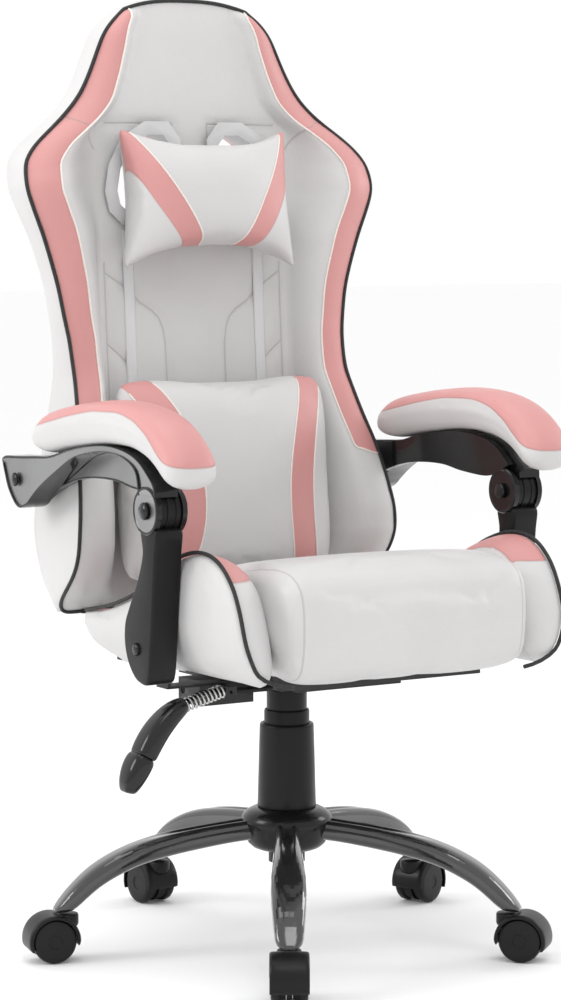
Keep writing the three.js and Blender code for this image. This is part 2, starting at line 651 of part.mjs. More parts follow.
// Arms: a frame pivoted on the back, a pad on it, and a link from its front knuckle to the seat.
const archTop = [
  [240, 654], [198, 656], [152, 659], [110, 662], [64, 672.5], [16, 680], [-38, 684], [-85, 680], [-119, 670], [-143, 654],
  [-158, 641], [-160, 628],
];
const ribUnder = [[-118, 628], [-109, 658], [-74, 673], [-28, 676], [16, 671], [53, 662], [91, 644], [137, 620], [161, 604]];
const webUnder = [[-128, 634], [-100, 627], [-45, 630], [1, 636], [56, 635], [104, 628], [158, 611], [190, 596]];

function armFrame(side) {
  const rearEnd = [[178, 592], [201, 589], [224, 609], [236, 632], [242, 650]];
  const rib = sidePlate([...archTop, ...ribUnder, ...rearEnd], ARM_INNER_X, ARM_OUTER_X, 2);
  const webOutline = [...archTop.slice(1, 10), ...webUnder, [222, 612]];
  const web = sidePlate(webOutline, ARM_INNER_X, ARM_INNER_X + 12);
  const cheeks = [ARM_INNER_X, ARM_OUTER_X - CHEEK_WIDTH].map((x) => rod(30, x, x + CHEEK_WIDTH, KNUCKLE.y, KNUCKLE.z, DISC_SIDES));
  const barrelRoom = rod(30.5, ARM_INNER_X + CHEEK_WIDTH, ARM_OUTER_X - CHEEK_WIDTH, KNUCKLE.y, KNUCKLE.z, DISC_SIDES);
  const boltRoom = rod(BOLT_RADIUS + 2.6, ARM_INNER_X - 5, ARM_OUTER_X + 5, KNUCKLE.y, KNUCKLE.z, 12);
  const pivotRoom = rod(BOLT_RADIUS + 0.4, ARM_INNER_X - 5, ARM_OUTER_X + 5, REAR_PIVOT.y, REAR_PIVOT.z, 12);
  const frame = cut(join(rib, web, ...cheeks), barrelRoom, boltRoom, pivotRoom);
  return side > 0 ? frame : mirrored(frame);
}

function armPad(side) {
  const top = [
    [146, 668], [150, 690], [142, 703], [115, 718], [59, 729], [4, 736], [-50, 740], [-102, 738], [-147, 729], [-180, 714],
    [-206, 694], [-220, 676], [-224, 660], [-220, 646], [-206, 639],
  ];
  const under = [[-188, 644.5], [-168, 660], [-144, 673.5], [-109, 684], [-64, 687.5], [-10, 684.5], [64, 674], [118, 664]];
  const pad = sidePlate([...top, ...under], PAD_CENTRE_X - PAD_HALF_WIDTH, PAD_CENTRE_X + PAD_HALF_WIDTH, 6);
  const clearance = sidePlate(
    [[150, 659.4], [110, 662.4], [64, 673], [16, 680.6], [-38, 684.6], [-85, 680.6], [-119, 670.6], [-143, 654.6], [-160, 640],
      [-160, 560], [240, 560], [240, 659.4]],
    ARM_INNER_X - 6, ARM_OUTER_X + 6);
  const shaped = cut(pad, clearance);
  return side > 0 ? shaped : mirrored(shaped);
}

function armLink(side) {
  const bodyOutline = [
    [-121, 588], [-124, 556], [-110, 520], [-92, 490], [-80, 466], [-80, 437], [-92, 412], [-113, 396], [-140, 399],
    [-147, 450], [-152, 504], [-157, 556], [-158, 588],
  ];
  const body = sidePlate(bodyOutline, 250.2, 290, 3);
  const barrelFrom = ARM_INNER_X + CHEEK_WIDTH + GAP;
  const barrelTo = ARM_OUTER_X - CHEEK_WIDTH - GAP;
  const cheekRoom = [[240, barrelFrom], [barrelTo, 300]].map(([x0, x1]) => rod(33, x0, x1, KNUCKLE.y, KNUCKLE.z, DISC_SIDES));
  const barrel = rod(27, barrelFrom, barrelTo, KNUCKLE.y, KNUCKLE.z, DISC_SIDES);
  const bores = [
    rod(BOLT_RADIUS + 0.4, 240, 300, KNUCKLE.y, KNUCKLE.z, 12),
    rod(BOLT_RADIUS + 0.4, 240, 300, LINK_PIVOT.y, LINK_PIVOT.z, 12),
  ];
  const link = cut(join(cut(body, ...cheekRoom), barrel), ...bores);
  return side > 0 ? link : mirrored(link);
}

function bolt(side, x0, shoulder, headRadius, headHeight, { y, z }, innerHead = 0) {
  const shank = rod(BOLT_RADIUS, x0, shoulder + 1, y, z, PIN_SIDES);
  const dome = turned([
    [0, 0], [headRadius, 0], [headRadius, 0.35 * headHeight], [0.75 * headRadius, 0.8 * headHeight], [0, headHeight],
  ], 12).rotateY(Math.PI / 2);
  const pieces = [shank, moved(dome, shoulder, y, z)];
  if (innerHead > 0) {
    pieces.push(rod(innerHead, x0 - 3.5, x0 + 1, y, z, 12));
  }
  const whole = join(...pieces);
  return side > 0 ? whole : mirrored(whole);
}

function addArms() {
  for (const [label, side] of [['left', 1], ['right', -1]]) {
    addPart(`arm_frame_${label}`, armFrame(side), 'glossPlastic');
    addPart(`arm_pad_${label}`, armPad(side), 'pinkLeather');
    addPart(`arm_link_${label}`, armLink(side), 'blackPlastic');
    addPart(`knuckle_bolt_${label}`, bolt(side, ARM_INNER_X - 1 - GAP, ARM_OUTER_X + GAP, 11, 5, KNUCKLE, 10), 'brightSteel');
    addPart(`rear_pivot_bolt_${label}`, bolt(side, 240, ARM_OUTER_X + GAP, 9, 4, REAR_PIVOT), 'brightSteel');
    addPart(`link_bolt_${label}`, bolt(side, 246.3, 290 + GAP, 8, 4, LINK_PIVOT), 'brightSteel');
  }
}

addBase();
addLift();
addMechanism();
addSeatAndBack();
addArms();

// The origin is the middle of the footprint, on the floor.
const bounds = new THREE.Box3().setFromObject(chair);
const centre = bounds.getCenter(vec(0, 0, 0));
chair.position.set(-centre.x, -centre.y, -bounds.min.z);
chair.updateMatrixWorld(true);

export default chair;
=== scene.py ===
"""Gaming chair: upholstery, arms, lift and star base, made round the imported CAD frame."""

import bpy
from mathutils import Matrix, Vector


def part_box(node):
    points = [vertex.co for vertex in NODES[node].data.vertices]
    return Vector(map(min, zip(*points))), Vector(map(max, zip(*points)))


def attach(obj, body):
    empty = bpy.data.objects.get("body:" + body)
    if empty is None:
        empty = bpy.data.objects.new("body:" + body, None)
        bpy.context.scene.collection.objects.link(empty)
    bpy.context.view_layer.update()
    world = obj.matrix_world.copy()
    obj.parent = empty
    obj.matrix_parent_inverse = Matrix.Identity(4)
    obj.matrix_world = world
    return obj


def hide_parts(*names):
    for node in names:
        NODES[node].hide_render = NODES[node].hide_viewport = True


bl_info = {
    "name": "Gaming chair",
    "version": (1, 0, 0),
    "blender": (4, 5, 0),
    "location": "3D View > Sidebar > Chair",
    "description": "Builds the upholstery, arms, gas lift and star base of a reclining gaming chair",
    "category": "Add Mesh",
}

import math

import bpy
import numpy as np
from mathutils import Matrix, Vector
from mathutils.bvhtree import BVHTree

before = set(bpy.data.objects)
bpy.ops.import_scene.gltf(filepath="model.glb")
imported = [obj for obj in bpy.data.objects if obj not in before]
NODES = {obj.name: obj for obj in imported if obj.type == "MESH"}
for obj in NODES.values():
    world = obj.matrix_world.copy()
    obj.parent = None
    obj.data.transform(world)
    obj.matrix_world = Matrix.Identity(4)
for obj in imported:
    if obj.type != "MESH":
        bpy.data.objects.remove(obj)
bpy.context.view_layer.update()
LIFT_LOW, LIFT_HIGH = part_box("lift_column")
AXIS_X, AXIS_Y = (LIFT_LOW.x + LIFT_HIGH.x) / 2, (LIFT_LOW.y + LIFT_HIGH.y) / 2
MM = 0.001
# sizes below are heights over a plane that lies this far under the floor
DROP = 122 - LIFT_LOW.z / MM
SIDES = (("left", 1), ("right", -1))
SEAT_SEAM = 0.163


def at(x, y, z):
    """A place in millimetres about the gas lift's axis, in the row frame's metres."""
    return Vector((AXIS_X + x * MM, AXIS_Y + y * MM, (z - DROP) * MM))


def smooth(a, b, t):
    """0 before a, 1 after b and a soft step between them."""
    u = np.clip((np.asarray(t, float) - a) / (b - a), 0, 1)
    return u * u * (3 - 2 * u)


class Curve:
    """A smooth line through (place, value) pairs that never overshoots them."""

    def __init__(self, pairs):
        self.x, self.y = np.array(pairs, float).T
        step, rise = np.diff(self.x), np.diff(self.y)
        slope = rise / step
        self.m = np.zeros(len(self.x))
        self.m[0], self.m[-1] = slope[0], slope[-1]
        for i in range(1, len(self.x) - 1):
            a, b = slope[i - 1], slope[i]
            if a * b > 0:
                w1, w2 = 2 * step[i] + step[i - 1], step[i] + 2 * step[i - 1]
                self.m[i] = (w1 + w2) / (w1 / a + w2 / b)

    def __call__(self, t):
        t = np.clip(np.asarray(t, float), self.x[0], self.x[-1])
        i = np.clip(np.searchsorted(self.x, t, side="right") - 1, 0, len(self.x) - 2)
        h = self.x[i + 1] - self.x[i]
        u = (t - self.x[i]) / h
        return (
            (1 + 2 * u) * (1 - u) ** 2 * self.y[i]
            + u * (1 - u) ** 2 * h * self.m[i]
            + u * u * (3 - 2 * u) * self.y[i + 1]
            + u * u * (u - 1) * h * self.m[i + 1]
        )


# ---------------------------------------------------------------- shader maths


class Wire:
    """A shader socket that takes part in Python expressions."""

    def __init__(self, paint, socket):
        self.paint, self.socket = paint, socket

    def _math(self, operation, *values):
        return self.paint.node("ShaderNodeMath", {"operation": operation}, values)

    def __add__(self, other):
        return self._math("ADD", self, other)

    __radd__ = __add__

    def __mul__(self, other):
        return self._math("MULTIPLY", self, other)

    __rmul__ = __mul__

    def __sub__(self, other):
        return self._math("SUBTRACT", self, other)

    def __rsub__(self, other):
        return self._math("SUBTRACT", other, self)

    def __truediv__(self, other):
        return self._math("DIVIDE", self, other)

    def __pow__(self, other):
        return self._math("POWER", self, other)

    def __abs__(self):
        return self._math("ABSOLUTE", self)

    def sine(self):
        return self._math("SINE", self)

    def least(self, other):
        return self._math("MINIMUM", self, other)

    def most(self, other):
        return self._math("MAXIMUM", self, other)

    def ramp(self, low, high, to_low=0.0, to_high=1.0):
        """A soft step from to_low at low to to_high at high."""
        return self.paint.node(
            "ShaderNodeMapRange",
            {"interpolation_type": "SMOOTHSTEP"},
            {"Value": self, "From Min": low, "From Max": high, "To Min": to_low, "To Max": to_high},
        )


class Paint:
    """A material under construction: its node tree, and its colours, grain and wear."""

    def __init__(self, name, **constants):
        self.material = bpy.data.materials.new(name)
        self.material.use_nodes = True
        self.tree = self.material.node_tree
        self.shader = self.tree.nodes["Principled BSDF"]
        for socket, value in constants.items():
            self.shader.inputs[socket.replace("_", " ")].default_value = value
        self.place = Wire(self, self.tree.nodes.new("ShaderNodeTexCoord").outputs["Object"])

    def node(self, kind, settings=None, values=(), output=0):
        """Adds a node, sets it up, gives its sockets their values or links and returns an output."""
        made = self.tree.nodes.new(kind)
        for key, value in (settings or {}).items():
            if key == "stops":
                while len(made.color_ramp.elements) < len(value):
                    made.color_ramp.elements.new(0.5)
                for element, (position, colour) in zip(made.color_ramp.elements, value):
                    element.position, element.color = position, (*colour, 1)
            else:
                setattr(made, key, value)
        pairs = values.items() if isinstance(values, dict) else enumerate(values)
        for socket, value in pairs:
            if isinstance(value, Wire):
                self.tree.links.new(value.socket, made.inputs[socket])
            elif isinstance(value, tuple) and made.inputs[socket].type == "RGBA":
                made.inputs[socket].default_value = (*value, 1) if len(value) == 3 else value
            else:
                made.inputs[socket].default_value = value
        return Wire(self, made.outputs[output])

    def mix(self, amount, first, second):
        """A colour that goes from first to second as amount goes from 0 to 1."""
        return self.node(
            "ShaderNodeMix", {"data_type": "RGBA"}, {0: amount, 6: first, 7: second}, 2
        )

    def noise(self, scale, detail=2.0, rough=0.5, place=None):
        return self.node(
            "ShaderNodeTexNoise",
            {"noise_dimensions": "3D"},
            {"Vector": place or self.place, "Scale": scale, "Detail": detail, "Roughness": rough},
        )

    def cells(self, scale, feature="F1", place=None):
        return self.node(
            "ShaderNodeTexVoronoi",
            {"feature": feature},
            {"Vector": place or self.place, "Scale": scale},
        )

    def axes(self, place=None):
        """The three numbers of a place."""
        made = self.tree.nodes.new("ShaderNodeSeparateXYZ")
        self.tree.links.new((place or self.place).socket, made.inputs[0])
        return [Wire(self, o) for o in made.outputs]

    def attribute(self, name):
        return self.node("ShaderNodeAttribute", {"attribute_name": name}, (), "Fac")

    def shine(self, colour=None, roughness=None, metallic=None, coat=None, height=None, strength=0.5,
              distance=0.001):
        """Joins what varies over the surface to the shader, and the height as a bump."""
        for socket, value in (
            ("Base Color", colour),
            ("Roughness", roughness),
            ("Metallic", metallic),
            ("Coat Weight", coat),
        ):
            if isinstance(value, Wire):
                self.tree.links.new(value.socket, self.shader.inputs[socket])
            elif value is not None:
                self.shader.inputs[socket].default_value = (*value, 1) if socket == "Base Color" else value
        if height is not None:
            bump = self.node(
                "ShaderNodeBump", None, {"Height": height, "Strength": strength, "Distance": distance}
            )
            self.tree.links.new(bump.socket, self.shader.inputs["Normal"])
        return self.material

    def line(self, x, z, start, end):
        """The distance from a sewn line between two (x, z) places."""
        (x0, z0), (x1, z1) = start, end
        dx, dz = x1 - x0, z1 - z0
        long = dx * dx + dz * dz
        t = ((x - x0) * (dx / long) + (z - z0) * (dz / long)).most(0.0).least(1.0)
        return (((x - x0) - t * dx) ** 2.0 + ((z - z0) - t * dz) ** 2.0) ** 0.5


# ---------------------------------------------------------------- sizes and colours


class ChairSizes(bpy.types.PropertyGroup):
    """Sizes that a maker would change."""

    piping: bpy.props.FloatProperty(
        name="Black piping", description="Thickness of the black edge piping", default=0.0052, unit="LENGTH"
    )
    cord: bpy.props.FloatProperty(
        name="Cream piping", description="Thickness of the cream piping", default=0.0030, unit="LENGTH"
    )
    grain: bpy.props.FloatProperty(
        name="Leather grain", description="Width of one pebble of the leather grain", default=0.0013,
        unit="LENGTH"
    )
    coil: bpy.props.FloatProperty(
        name="Spring wire", description="Thickness of the lever spring's wire", default=0.0027, unit="LENGTH"
    )


def _colour(name, description, value):
    return bpy.props.FloatVectorProperty(
        name=name, description=description, subtype="COLOR", size=3, min=0, max=1, default=value
    )


class ChairColours(bpy.types.PropertyGroup):
    """Colours that a maker would change."""

    white: _colour("White leather", "Main panels", (0.600, 0.592, 0.590))
    pink: _colour("Pink leather", "Bands and top panels", (0.605, 0.282, 0.272))
    cream: _colour("Cream piping", "Piping beside the pink bands", (0.70, 0.64, 0.60))
    black: _colour("Black plastic", "Arms, sleeves and casters", (0.0075, 0.0075, 0.008))
    steel: _colour("Base steel", "Legs of the star base", (0.016, 0.016, 0.0165))


def sizes():
    return bpy.context.scene.chair_sizes


def colour(name):
    return tuple(getattr(bpy.context.scene.chair_colours, name))


# ---------------------------------------------------------------- finishes

_finishes = {}


def finish_of(make):
    """Makes a material once and hands out the same one after that."""

    def once(*words):
        key = (make.__name__, *words)
        if key not in _finishes:
            _finishes[key] = make(*words)
        return _finishes[key]

    return once


def leather_grain(paint):
    """Pebbled grain, a few longer creases and a slow change of gloss."""
    grain = sizes().grain
    pebble = paint.cells(1 / grain, "SMOOTH_F1")
    fine = paint.noise(1.6 / grain, 3.0, 0.6)
    crease = paint.noise(60.0, 4.0, 0.62)
    height = pebble * -0.55 + fine * 0.30 + crease * 0.35
    gloss = paint.noise(26.0, 3.0).ramp(0.30, 0.72, 0.36, 0.47) + pebble * 0.07
    mottle = paint.noise(9.0, 3.0).ramp(0.25, 0.75, 0.0, 1.0)
    return height, gloss, mottle


def leather_tint(paint, mottle, base):
    """Leather colour with a slow, faint change over the hide."""
    dark = tuple(c * 0.955 for c in base)
    return paint.mix(mottle, dark, base)


@finish_of
def two_tone_leather(name):
    """White leather that turns pink where the piece's band attribute is above zero, with painted shade along
    the seam at the band's edge.
    """
    paint = Paint("two_tone_" + name, IOR=1.46)
    height, gloss, mottle = leather_grain(paint)
    band = paint.attribute("band")
    inside = band.ramp(-0.0001, 0.0001)
    white, pink = (leather_tint(paint, mottle, colour(which)) for which in ("white", "pink"))
    tint = paint.mix(inside, white, pink)
    seam = (abs(band) * 1000.0).ramp(0.5, 1.7, 1.0, 0.0)
    # painted shade: the colour darkens along the seam as if its sewn groove lay in shade, beside the groove's
    # own bump
    tint = paint.mix(seam * 0.35, tint, (0.35, 0.27, 0.25))
    return paint.shine(tint, gloss, height=height + seam * -1.4, strength=0.5, distance=0.0008)


@finish_of
def seat_leather():
    """White leather with a sewn line round each end of the centre cushion, sunk as a bump and darkened with
    painted shade.
    """
    paint = Paint("seat_leather", IOR=1.46)
    height, gloss, mottle = leather_grain(paint)
    x = paint.axes()[0]
    near = abs(abs(x - AXIS_X) - SEAT_SEAM)
    groove_and_shade = (near * 1000.0).ramp(0.4, 1.5, 1.0, 0.0)
    # painted shade: the colour darkens along the sewn line as if its groove lay in shade
    tint = paint.mix(groove_and_shade * 0.35, leather_tint(paint, mottle, colour("white")), (0.30, 0.27, 0.26))
    return paint.shine(tint, gloss, height=height + groove_and_shade * -1.6, strength=0.5, distance=0.0008)


@finish_of
def back_leather():
    """The back's leather: pink band, and the sewn lines of the centre panel, neck and harness bar, with
    painted shade in their grooves.
    """
    paint = Paint("back_leather", IOR=1.46)
    height, gloss, mottle = leather_grain(paint)
    band = paint.attribute("band")
    inside = band.ramp(-0.0001, 0.0001)
    white, pink = (leather_tint(paint, mottle, colour(which)) for which in ("white", "pink"))
    tint = paint.mix(inside, white, pink)
    x, _, z = paint.axes()
    side, z = abs(x - AXIS_X), z + DROP * MM
    front = paint.attribute("front")
    near = None
    for chain in BACK_SEAMS:
        for start, end in zip(chain, chain[1:]):
            d = paint.line(side, z, tuple(v * MM for v in start), tuple(v * MM for v in end))
            near = d if near is None else near.least(d)
    near = near + (1 - front)
    groove_and_shade = (near * 1000.0).ramp(0.4, 1.8, 1.0, 0.0)
    stitch = (z * 1150.0).sine().ramp(-0.1, 0.35)
    thread = ((abs(near - 0.0032)) * 1000.0).ramp(0.25, 0.6, 1.0, 0.0) * stitch
    # painted shade: the colour darkens along the sewn lines as if their grooves lay in shade; the thread
    # beside them is its own grey
    tint = paint.mix(groove_and_shade * 0.42, tint, (0.30, 0.27, 0.26))
    tint = paint.mix(thread * 0.25, tint, (0.48, 0.46, 0.45))
    return paint.shine(
        tint, gloss, height=height + groove_and_shade * -1.6 + thread * 0.5, strength=0.5, distance=0.0008
    )


@finish_of
def striped_leather(name, centre_z, inner, outer):
    """Pillow leather with two pink stripes whose edges are curves of height, as polynomials, and painted
    shade along their seams.
    """
    paint = Paint(name + "_leather", IOR=1.46)
    height, gloss, mottle = leather_grain(paint)
    x, _, z = paint.axes()
    side, up = abs(x - AXIS_X), z - (centre_z - DROP * MM)

    def edge(factors):
        value = up * factors[0] + factors[1]
        for factor in factors[2:]:
            value = value * up + factor
        return value

    d_in, d_out = side - edge(inner), edge(outer) - side
    band = d_in.least(d_out)
    front = paint.attribute("front")
    band = band + (front - 1)
    inside = band.ramp(-0.0001, 0.0001)
    white, pink = (leather_tint(paint, mottle, colour(which)) for which in ("white", "pink"))
    tint = paint.mix(inside, white, pink)
    seam = (abs(band) * 1000.0).ramp(0.5, 1.6, 1.0, 0.0)
    # painted shade: the colour darkens along the stripes' seams as if their grooves lay in shade
    tint = paint.mix(seam * 0.3, tint, (0.40, 0.31, 0.29))
    return paint.shine(tint, gloss, height=height + seam * -1.2, strength=0.5, distance=0.0008)


@finish_of
def woven_piping(which):
    """Cord covered in thin ribbed cloth."""
    base = (0.014, 0.014, 0.015) if which == "black" else colour("cream")
    paint = Paint(which + "_piping", Roughness=0.6, IOR=1.45)
    ribs = paint.cells(1900.0, "F1")
    patch = paint.noise(240.0, 2.0)
    light = tuple(min(1.0, c * 1.5 + 0.004) for c in base)
    tint = paint.mix(ribs.ramp(0.1, 0.7), light, base)
    return paint.shine(tint, patch.ramp(0.3, 0.7, 0.46, 0.68), height=ribs, strength=0.5, distance=0.0004)


@finish_of
def webbing():
    paint = Paint("grey_webbing", IOR=1.45)
    x, _, z = paint.axes()
    warp = (x * 3600.0).sine()
    weft = (z * 2500.0).sine()
    weave = (warp * weft).ramp(-0.8, 0.8)
    tint = paint.mix(weave, (0.58, 0.58, 0.585), (0.76, 0.76, 0.765))
    return paint.shine(tint, paint.noise(300.0).ramp(0.3, 0.7, 0.6, 0.8), height=weave, strength=0.5,
                       distance=0.0005)


@finish_of
def moulded(name, base, low, high, grain, coat, ior=1.30):
    """Moulded plastic: a fine spark texture, faint scuffs and worn, paler high spots."""
    paint = Paint(name, IOR=ior, Coat_Roughness=0.08)
    spark = paint.noise(1500.0, 2.0, 0.55)
    scuff = paint.noise(70.0, 5.0, 0.7).ramp(0.58, 0.80)
    wear = paint.noise(14.0, 3.0).ramp(0.35, 0.75)
    pale = tuple(min(1.0, c * 1.35 + 0.006) for c in base)
    tint = paint.mix(scuff * 0.5 + wear * 0.2, base, pale)
    rough = wear * (high - low) + low + scuff * 0.08
    return paint.shine(tint, rough, coat=coat, height=spark + scuff * -0.4, strength=grain, distance=0.0004)


@finish_of
def metal(name, base, low, high, brushed):
    """Plated or painted steel with a slow change of gloss, fine scratches and dull spots."""
    paint = Paint(name, Metallic=1.0)
    scratch = paint.noise(420.0, 4.0, 0.7)
    wave = paint.noise(7.0, 2.0).ramp(0.3, 0.7)
    dull = tuple(c * 0.72 for c in base)
    tint = paint.mix(wave * 0.6 + scratch.ramp(0.55, 0.8) * 0.3, base, dull)
    return paint.shine(tint, wave * (high - low) + low, height=scratch, strength=brushed, distance=0.0003)


def black_plastic():
    return moulded("satin_black_plastic", colour("black"), 0.30, 0.44, 0.10, 0.0)


def gloss_plastic():
    return moulded("gloss_black_plastic", (0.007, 0.007, 0.0075), 0.16, 0.26, 0.04, 0.35)


def tyre_plastic():
    return moulded("wheel_plastic", (0.009, 0.009, 0.0095), 0.30, 0.44, 0.12, 0.0)


def trim_plastic():
    return moulded("pale_trim_plastic", (0.56, 0.56, 0.565), 0.32, 0.44, 0.06, 0.0)


def base_steel():
    return moulded("gloss_base_enamel", colour("steel"), 0.10, 0.20, 0.02, 1.0, 1.5)


def arm_steel():
    return metal("gloss_arm_plate", (0.36, 0.36, 0.365), 0.24, 0.36, 0.04)


def frame_steel():
    return moulded("powder_coated_steel", (0.030, 0.030, 0.031), 0.36, 0.50, 0.22, 0.0)


def bright_steel():
    return metal("bright_steel", (0.62, 0.62, 0.61), 0.14, 0.24, 0.03)


# ---------------------------------------------------------------- modelling by operators


def only(piece):
    """Makes a piece the one that operators act on."""
    bpy.ops.object.select_all(action="DESELECT")
    piece.select_set(True)
    bpy.context.view_layer.objects.active = piece
    return piece


def settle(piece):
    """Puts a piece's place into its mesh."""
    only(piece)
    bpy.ops.object.transform_apply(location=True, rotation=True, scale=True)
    return piece


def apply_all(piece):
    only(piece)
    for modifier in list(piece.modifiers):
        bpy.ops.object.modifier_apply(modifier=modifier.name)
    return piece


def bevelled(piece, width, segments=2, angle=35):
    mod = piece.modifiers.new("bevel", "BEVEL")
    mod.width, mod.segments, mod.limit_method, mod.angle_limit = width, segments, "ANGLE", math.radians(angle)
    return apply_all(piece)


def rounded(piece, levels=2):
    mod = piece.modifiers.new("smooth", "SUBSURF")
    mod.levels = mod.render_levels = levels
    return apply_all(piece)


def shaded(piece, angle=40):
    only(piece)
    bpy.ops.object.shade_smooth_by_angle(angle=math.radians(angle))
    return piece


def outward(piece):
    """Merges doubles and turns every face outwards."""
    only(piece)
    bpy.ops.object.mode_set(mode="EDIT")
    bpy.ops.mesh.select_all(action="SELECT")
    bpy.ops.mesh.remove_doubles(threshold=0.00002)
    bpy.ops.mesh.normals_make_consistent(inside=False)
    bpy.ops.object.mode_set(mode="OBJECT")
    return piece


def painted(piece, *materials):
    piece.data.materials.clear()
    for material in materials:
        piece.data.materials.append(material)
    return piece


def loft(name, rings, sides=32, turn=(0, 0, 0)):
    """Extrudes a circle through rings, each a centre and a size along x, y and z, in metres."""
    bpy.ops.object.select_all(action="DESELECT")
    centre, size = rings[0]
    bpy.ops.mesh.primitive_circle_add(vertices=sides, radius=1.0, location=centre, rotation=turn)
    piece = bpy.context.object
    piece.name = name
    settle(piece)
    bpy.ops.object.mode_set(mode="EDIT")
    bpy.ops.mesh.select_all(action="SELECT")
    bpy.ops.transform.resize(value=size, center_override=centre)
    for next_centre, next_size in rings[1:]:
        shift = Vector(next_centre) - Vector(centre)
        bpy.ops.mesh.extrude_edges_move(TRANSFORM_OT_translate={"value": shift})
        ratio = tuple(b / a for a, b in zip(size, next_size))
        bpy.ops.transform.resize(value=ratio, center_override=next_centre)
        centre, size = next_centre, next_size
    bpy.ops.mesh.select_all(action="SELECT")
    bpy.ops.mesh.remove_doubles(threshold=0.00002)
    bpy.ops.mesh.fill_holes(sides=0)
    bpy.ops.object.mode_set(mode="OBJECT")
    return outward(piece)


def turned(name, profile, sides=48, centre=(0, 0)):
    """A round piece about an upright axis: profile holds (radius, height) pairs in millimetres."""
    rings = [((*centre, (h - DROP) * MM), (r * MM, r * MM, 1)) for r, h in profile]
    return loft(name, rings, sides)


def copied(piece, name, matrix):
    """A copy with its own mesh, moved by a matrix that stays in the mesh."""
    twin = piece.copy()
    twin.data = piece.data.copy()
    twin.name = name
    bpy.context.scene.collection.objects.link(twin)
    twin.data.transform(matrix)
    if matrix.determinant() < 0:
        outward(twin)
    return twin


def mirrored(piece, name):
    """The other side's twin, across the chair's middle plane."""
    there, back = Matrix.Translation((AXIS_X, 0, 0)), Matrix.Translation((-AXIS_X, 0, 0))
    swap = there @ Matrix.Diagonal((-1, 1, 1, 1)) @ back
    return copied(piece, name, swap)


def tube(name, path, radius, sides=10, closed=False):
    """A round cord along a path, made as a curve and turned into a mesh with closed ends."""
    data = bpy.data.curves.new(name, "CURVE")
    data.dimensions, data.use_fill_caps = "3D", True
    data.bevel_depth, data.bevel_resolution = radius, max(1, sides // 4)
    data.resolution_u = 3
    line = data.splines.new("POLY")
    line.points.add(len(path) - 1)
    for point, place in zip(line.points, path):
        point.co = (*place, 1)
    line.use_cyclic_u = closed
    piece = bpy.data.objects.new(name, data)
    bpy.context.scene.collection.objects.link(piece)
    only(piece)
    bpy.ops.object.convert(target="MESH")
    piece = bpy.context.object
    outward(piece)
    only(piece)
    bpy.ops.object.shade_smooth()
    return piece


def skin(name, vertices, faces, attributes=None):
    """A mesh from vertices and faces, with named numbers on its vertices."""
    data = bpy.data.meshes.new(name)
    data.from_pydata([tuple(v) for v in vertices], [], [tuple(int(i) for i in f) for f in faces])
    data.validate()
    for key, values in (attributes or {}).items():
        layer = data.attributes.new(key, "FLOAT", "POINT")
        layer.data.foreach_set("value", np.asarray(values, np.float32))
    piece = bpy.data.objects.new(name, data)
    bpy.context.scene.collection.objects.link(piece)
    data.polygons.foreach_set("use_smooth", [True] * len(data.polygons))
    return piece


def facing_out(piece):
    """Turns a skin's faces outwards without merging anything."""
    only(piece)
    bpy.ops.object.mode_set(mode="EDIT")
    bpy.ops.mesh.select_all(action="SELECT")
    bpy.ops.mesh.normals_make_consistent(inside=False)
    bpy.ops.object.mode_set(mode="OBJECT")
    return piece


def resampled(points, count, closed=True):
    """Evenly spaced places along a smooth line through points."""
    points = np.array(points, float)
    n = len(points)
    dense = []
    span = n if closed else n - 1
    for i in range(span):
        if closed:
            p0, p1, p2, p3 = (points[(i + k) % n] for k in (-1, 0, 1, 2))
        else:
            p0, p1, p2, p3 = (points[min(max(i + k, 0), n - 1)] for k in (-1, 0, 1, 2))
        for t in np.linspace(0, 1, 12, endpoint=False):
            square, cube = 2 * p0 - 5 * p1 + 4 * p2 - p3, 3 * p1 - p0 - 3 * p2 + p3
            dense.append(0.5 * (2 * p1 + (p2 - p0) * t + square * t**2 + cube * t**3))
    dense.append(points[0] if closed else points[-1])
    dense = np.array(dense)
    reach = np.concatenate([[0], np.cumsum(np.linalg.norm(np.diff(dense, axis=0), axis=1))])
    wanted = np.linspace(0, reach[-1], count + 1)[:-1] if closed else np.linspace(0, reach[-1], count)
    return np.stack([np.interp(wanted, reach, dense[:, k]) for k in range(dense.shape[1])], 1)


def sideways_loft(outline, stations, spine, count=120):
    """The rows of a padded form: a side outline of (y, z) carried across the chair through (x, shrink)
    stations.

    It also gives each outline place its nearest place on a spine line; padded_loft closes both ends on that
    line, so each end face is a crowned field of quads."""
    ring = resampled(outline, count)
    ahead, behind = np.roll(ring, -1, 0), np.roll(ring, 1, 0)
    run = ahead - behind
    run /= np.linalg.norm(run, axis=1)[:, None]
    inward = np.stack([-run[:, 1], run[:, 0]], 1)
    area = np.sum(ring[:, 0] * ahead[:, 1] - ahead[:, 0] * ring[:, 1])
    if area < 0:
        inward = -inward
    for _ in range(6):
        inward = (np.roll(inward, 1, 0) + inward + np.roll(inward, -1, 0)) / 3
        inward /= np.linalg.norm(inward, axis=1)[:, None]
    line = resampled(spine, 60, closed=False)
    foot = line[np.argmin(np.linalg.norm(ring[:, None] - line[None], axis=2), axis=1)]
    rows = []
    for x, shrink in stations:
        rows.append(np.column_stack([np.full(count, x), ring + inward * shrink]))
    rows = np.array(rows)

    return rows, foot


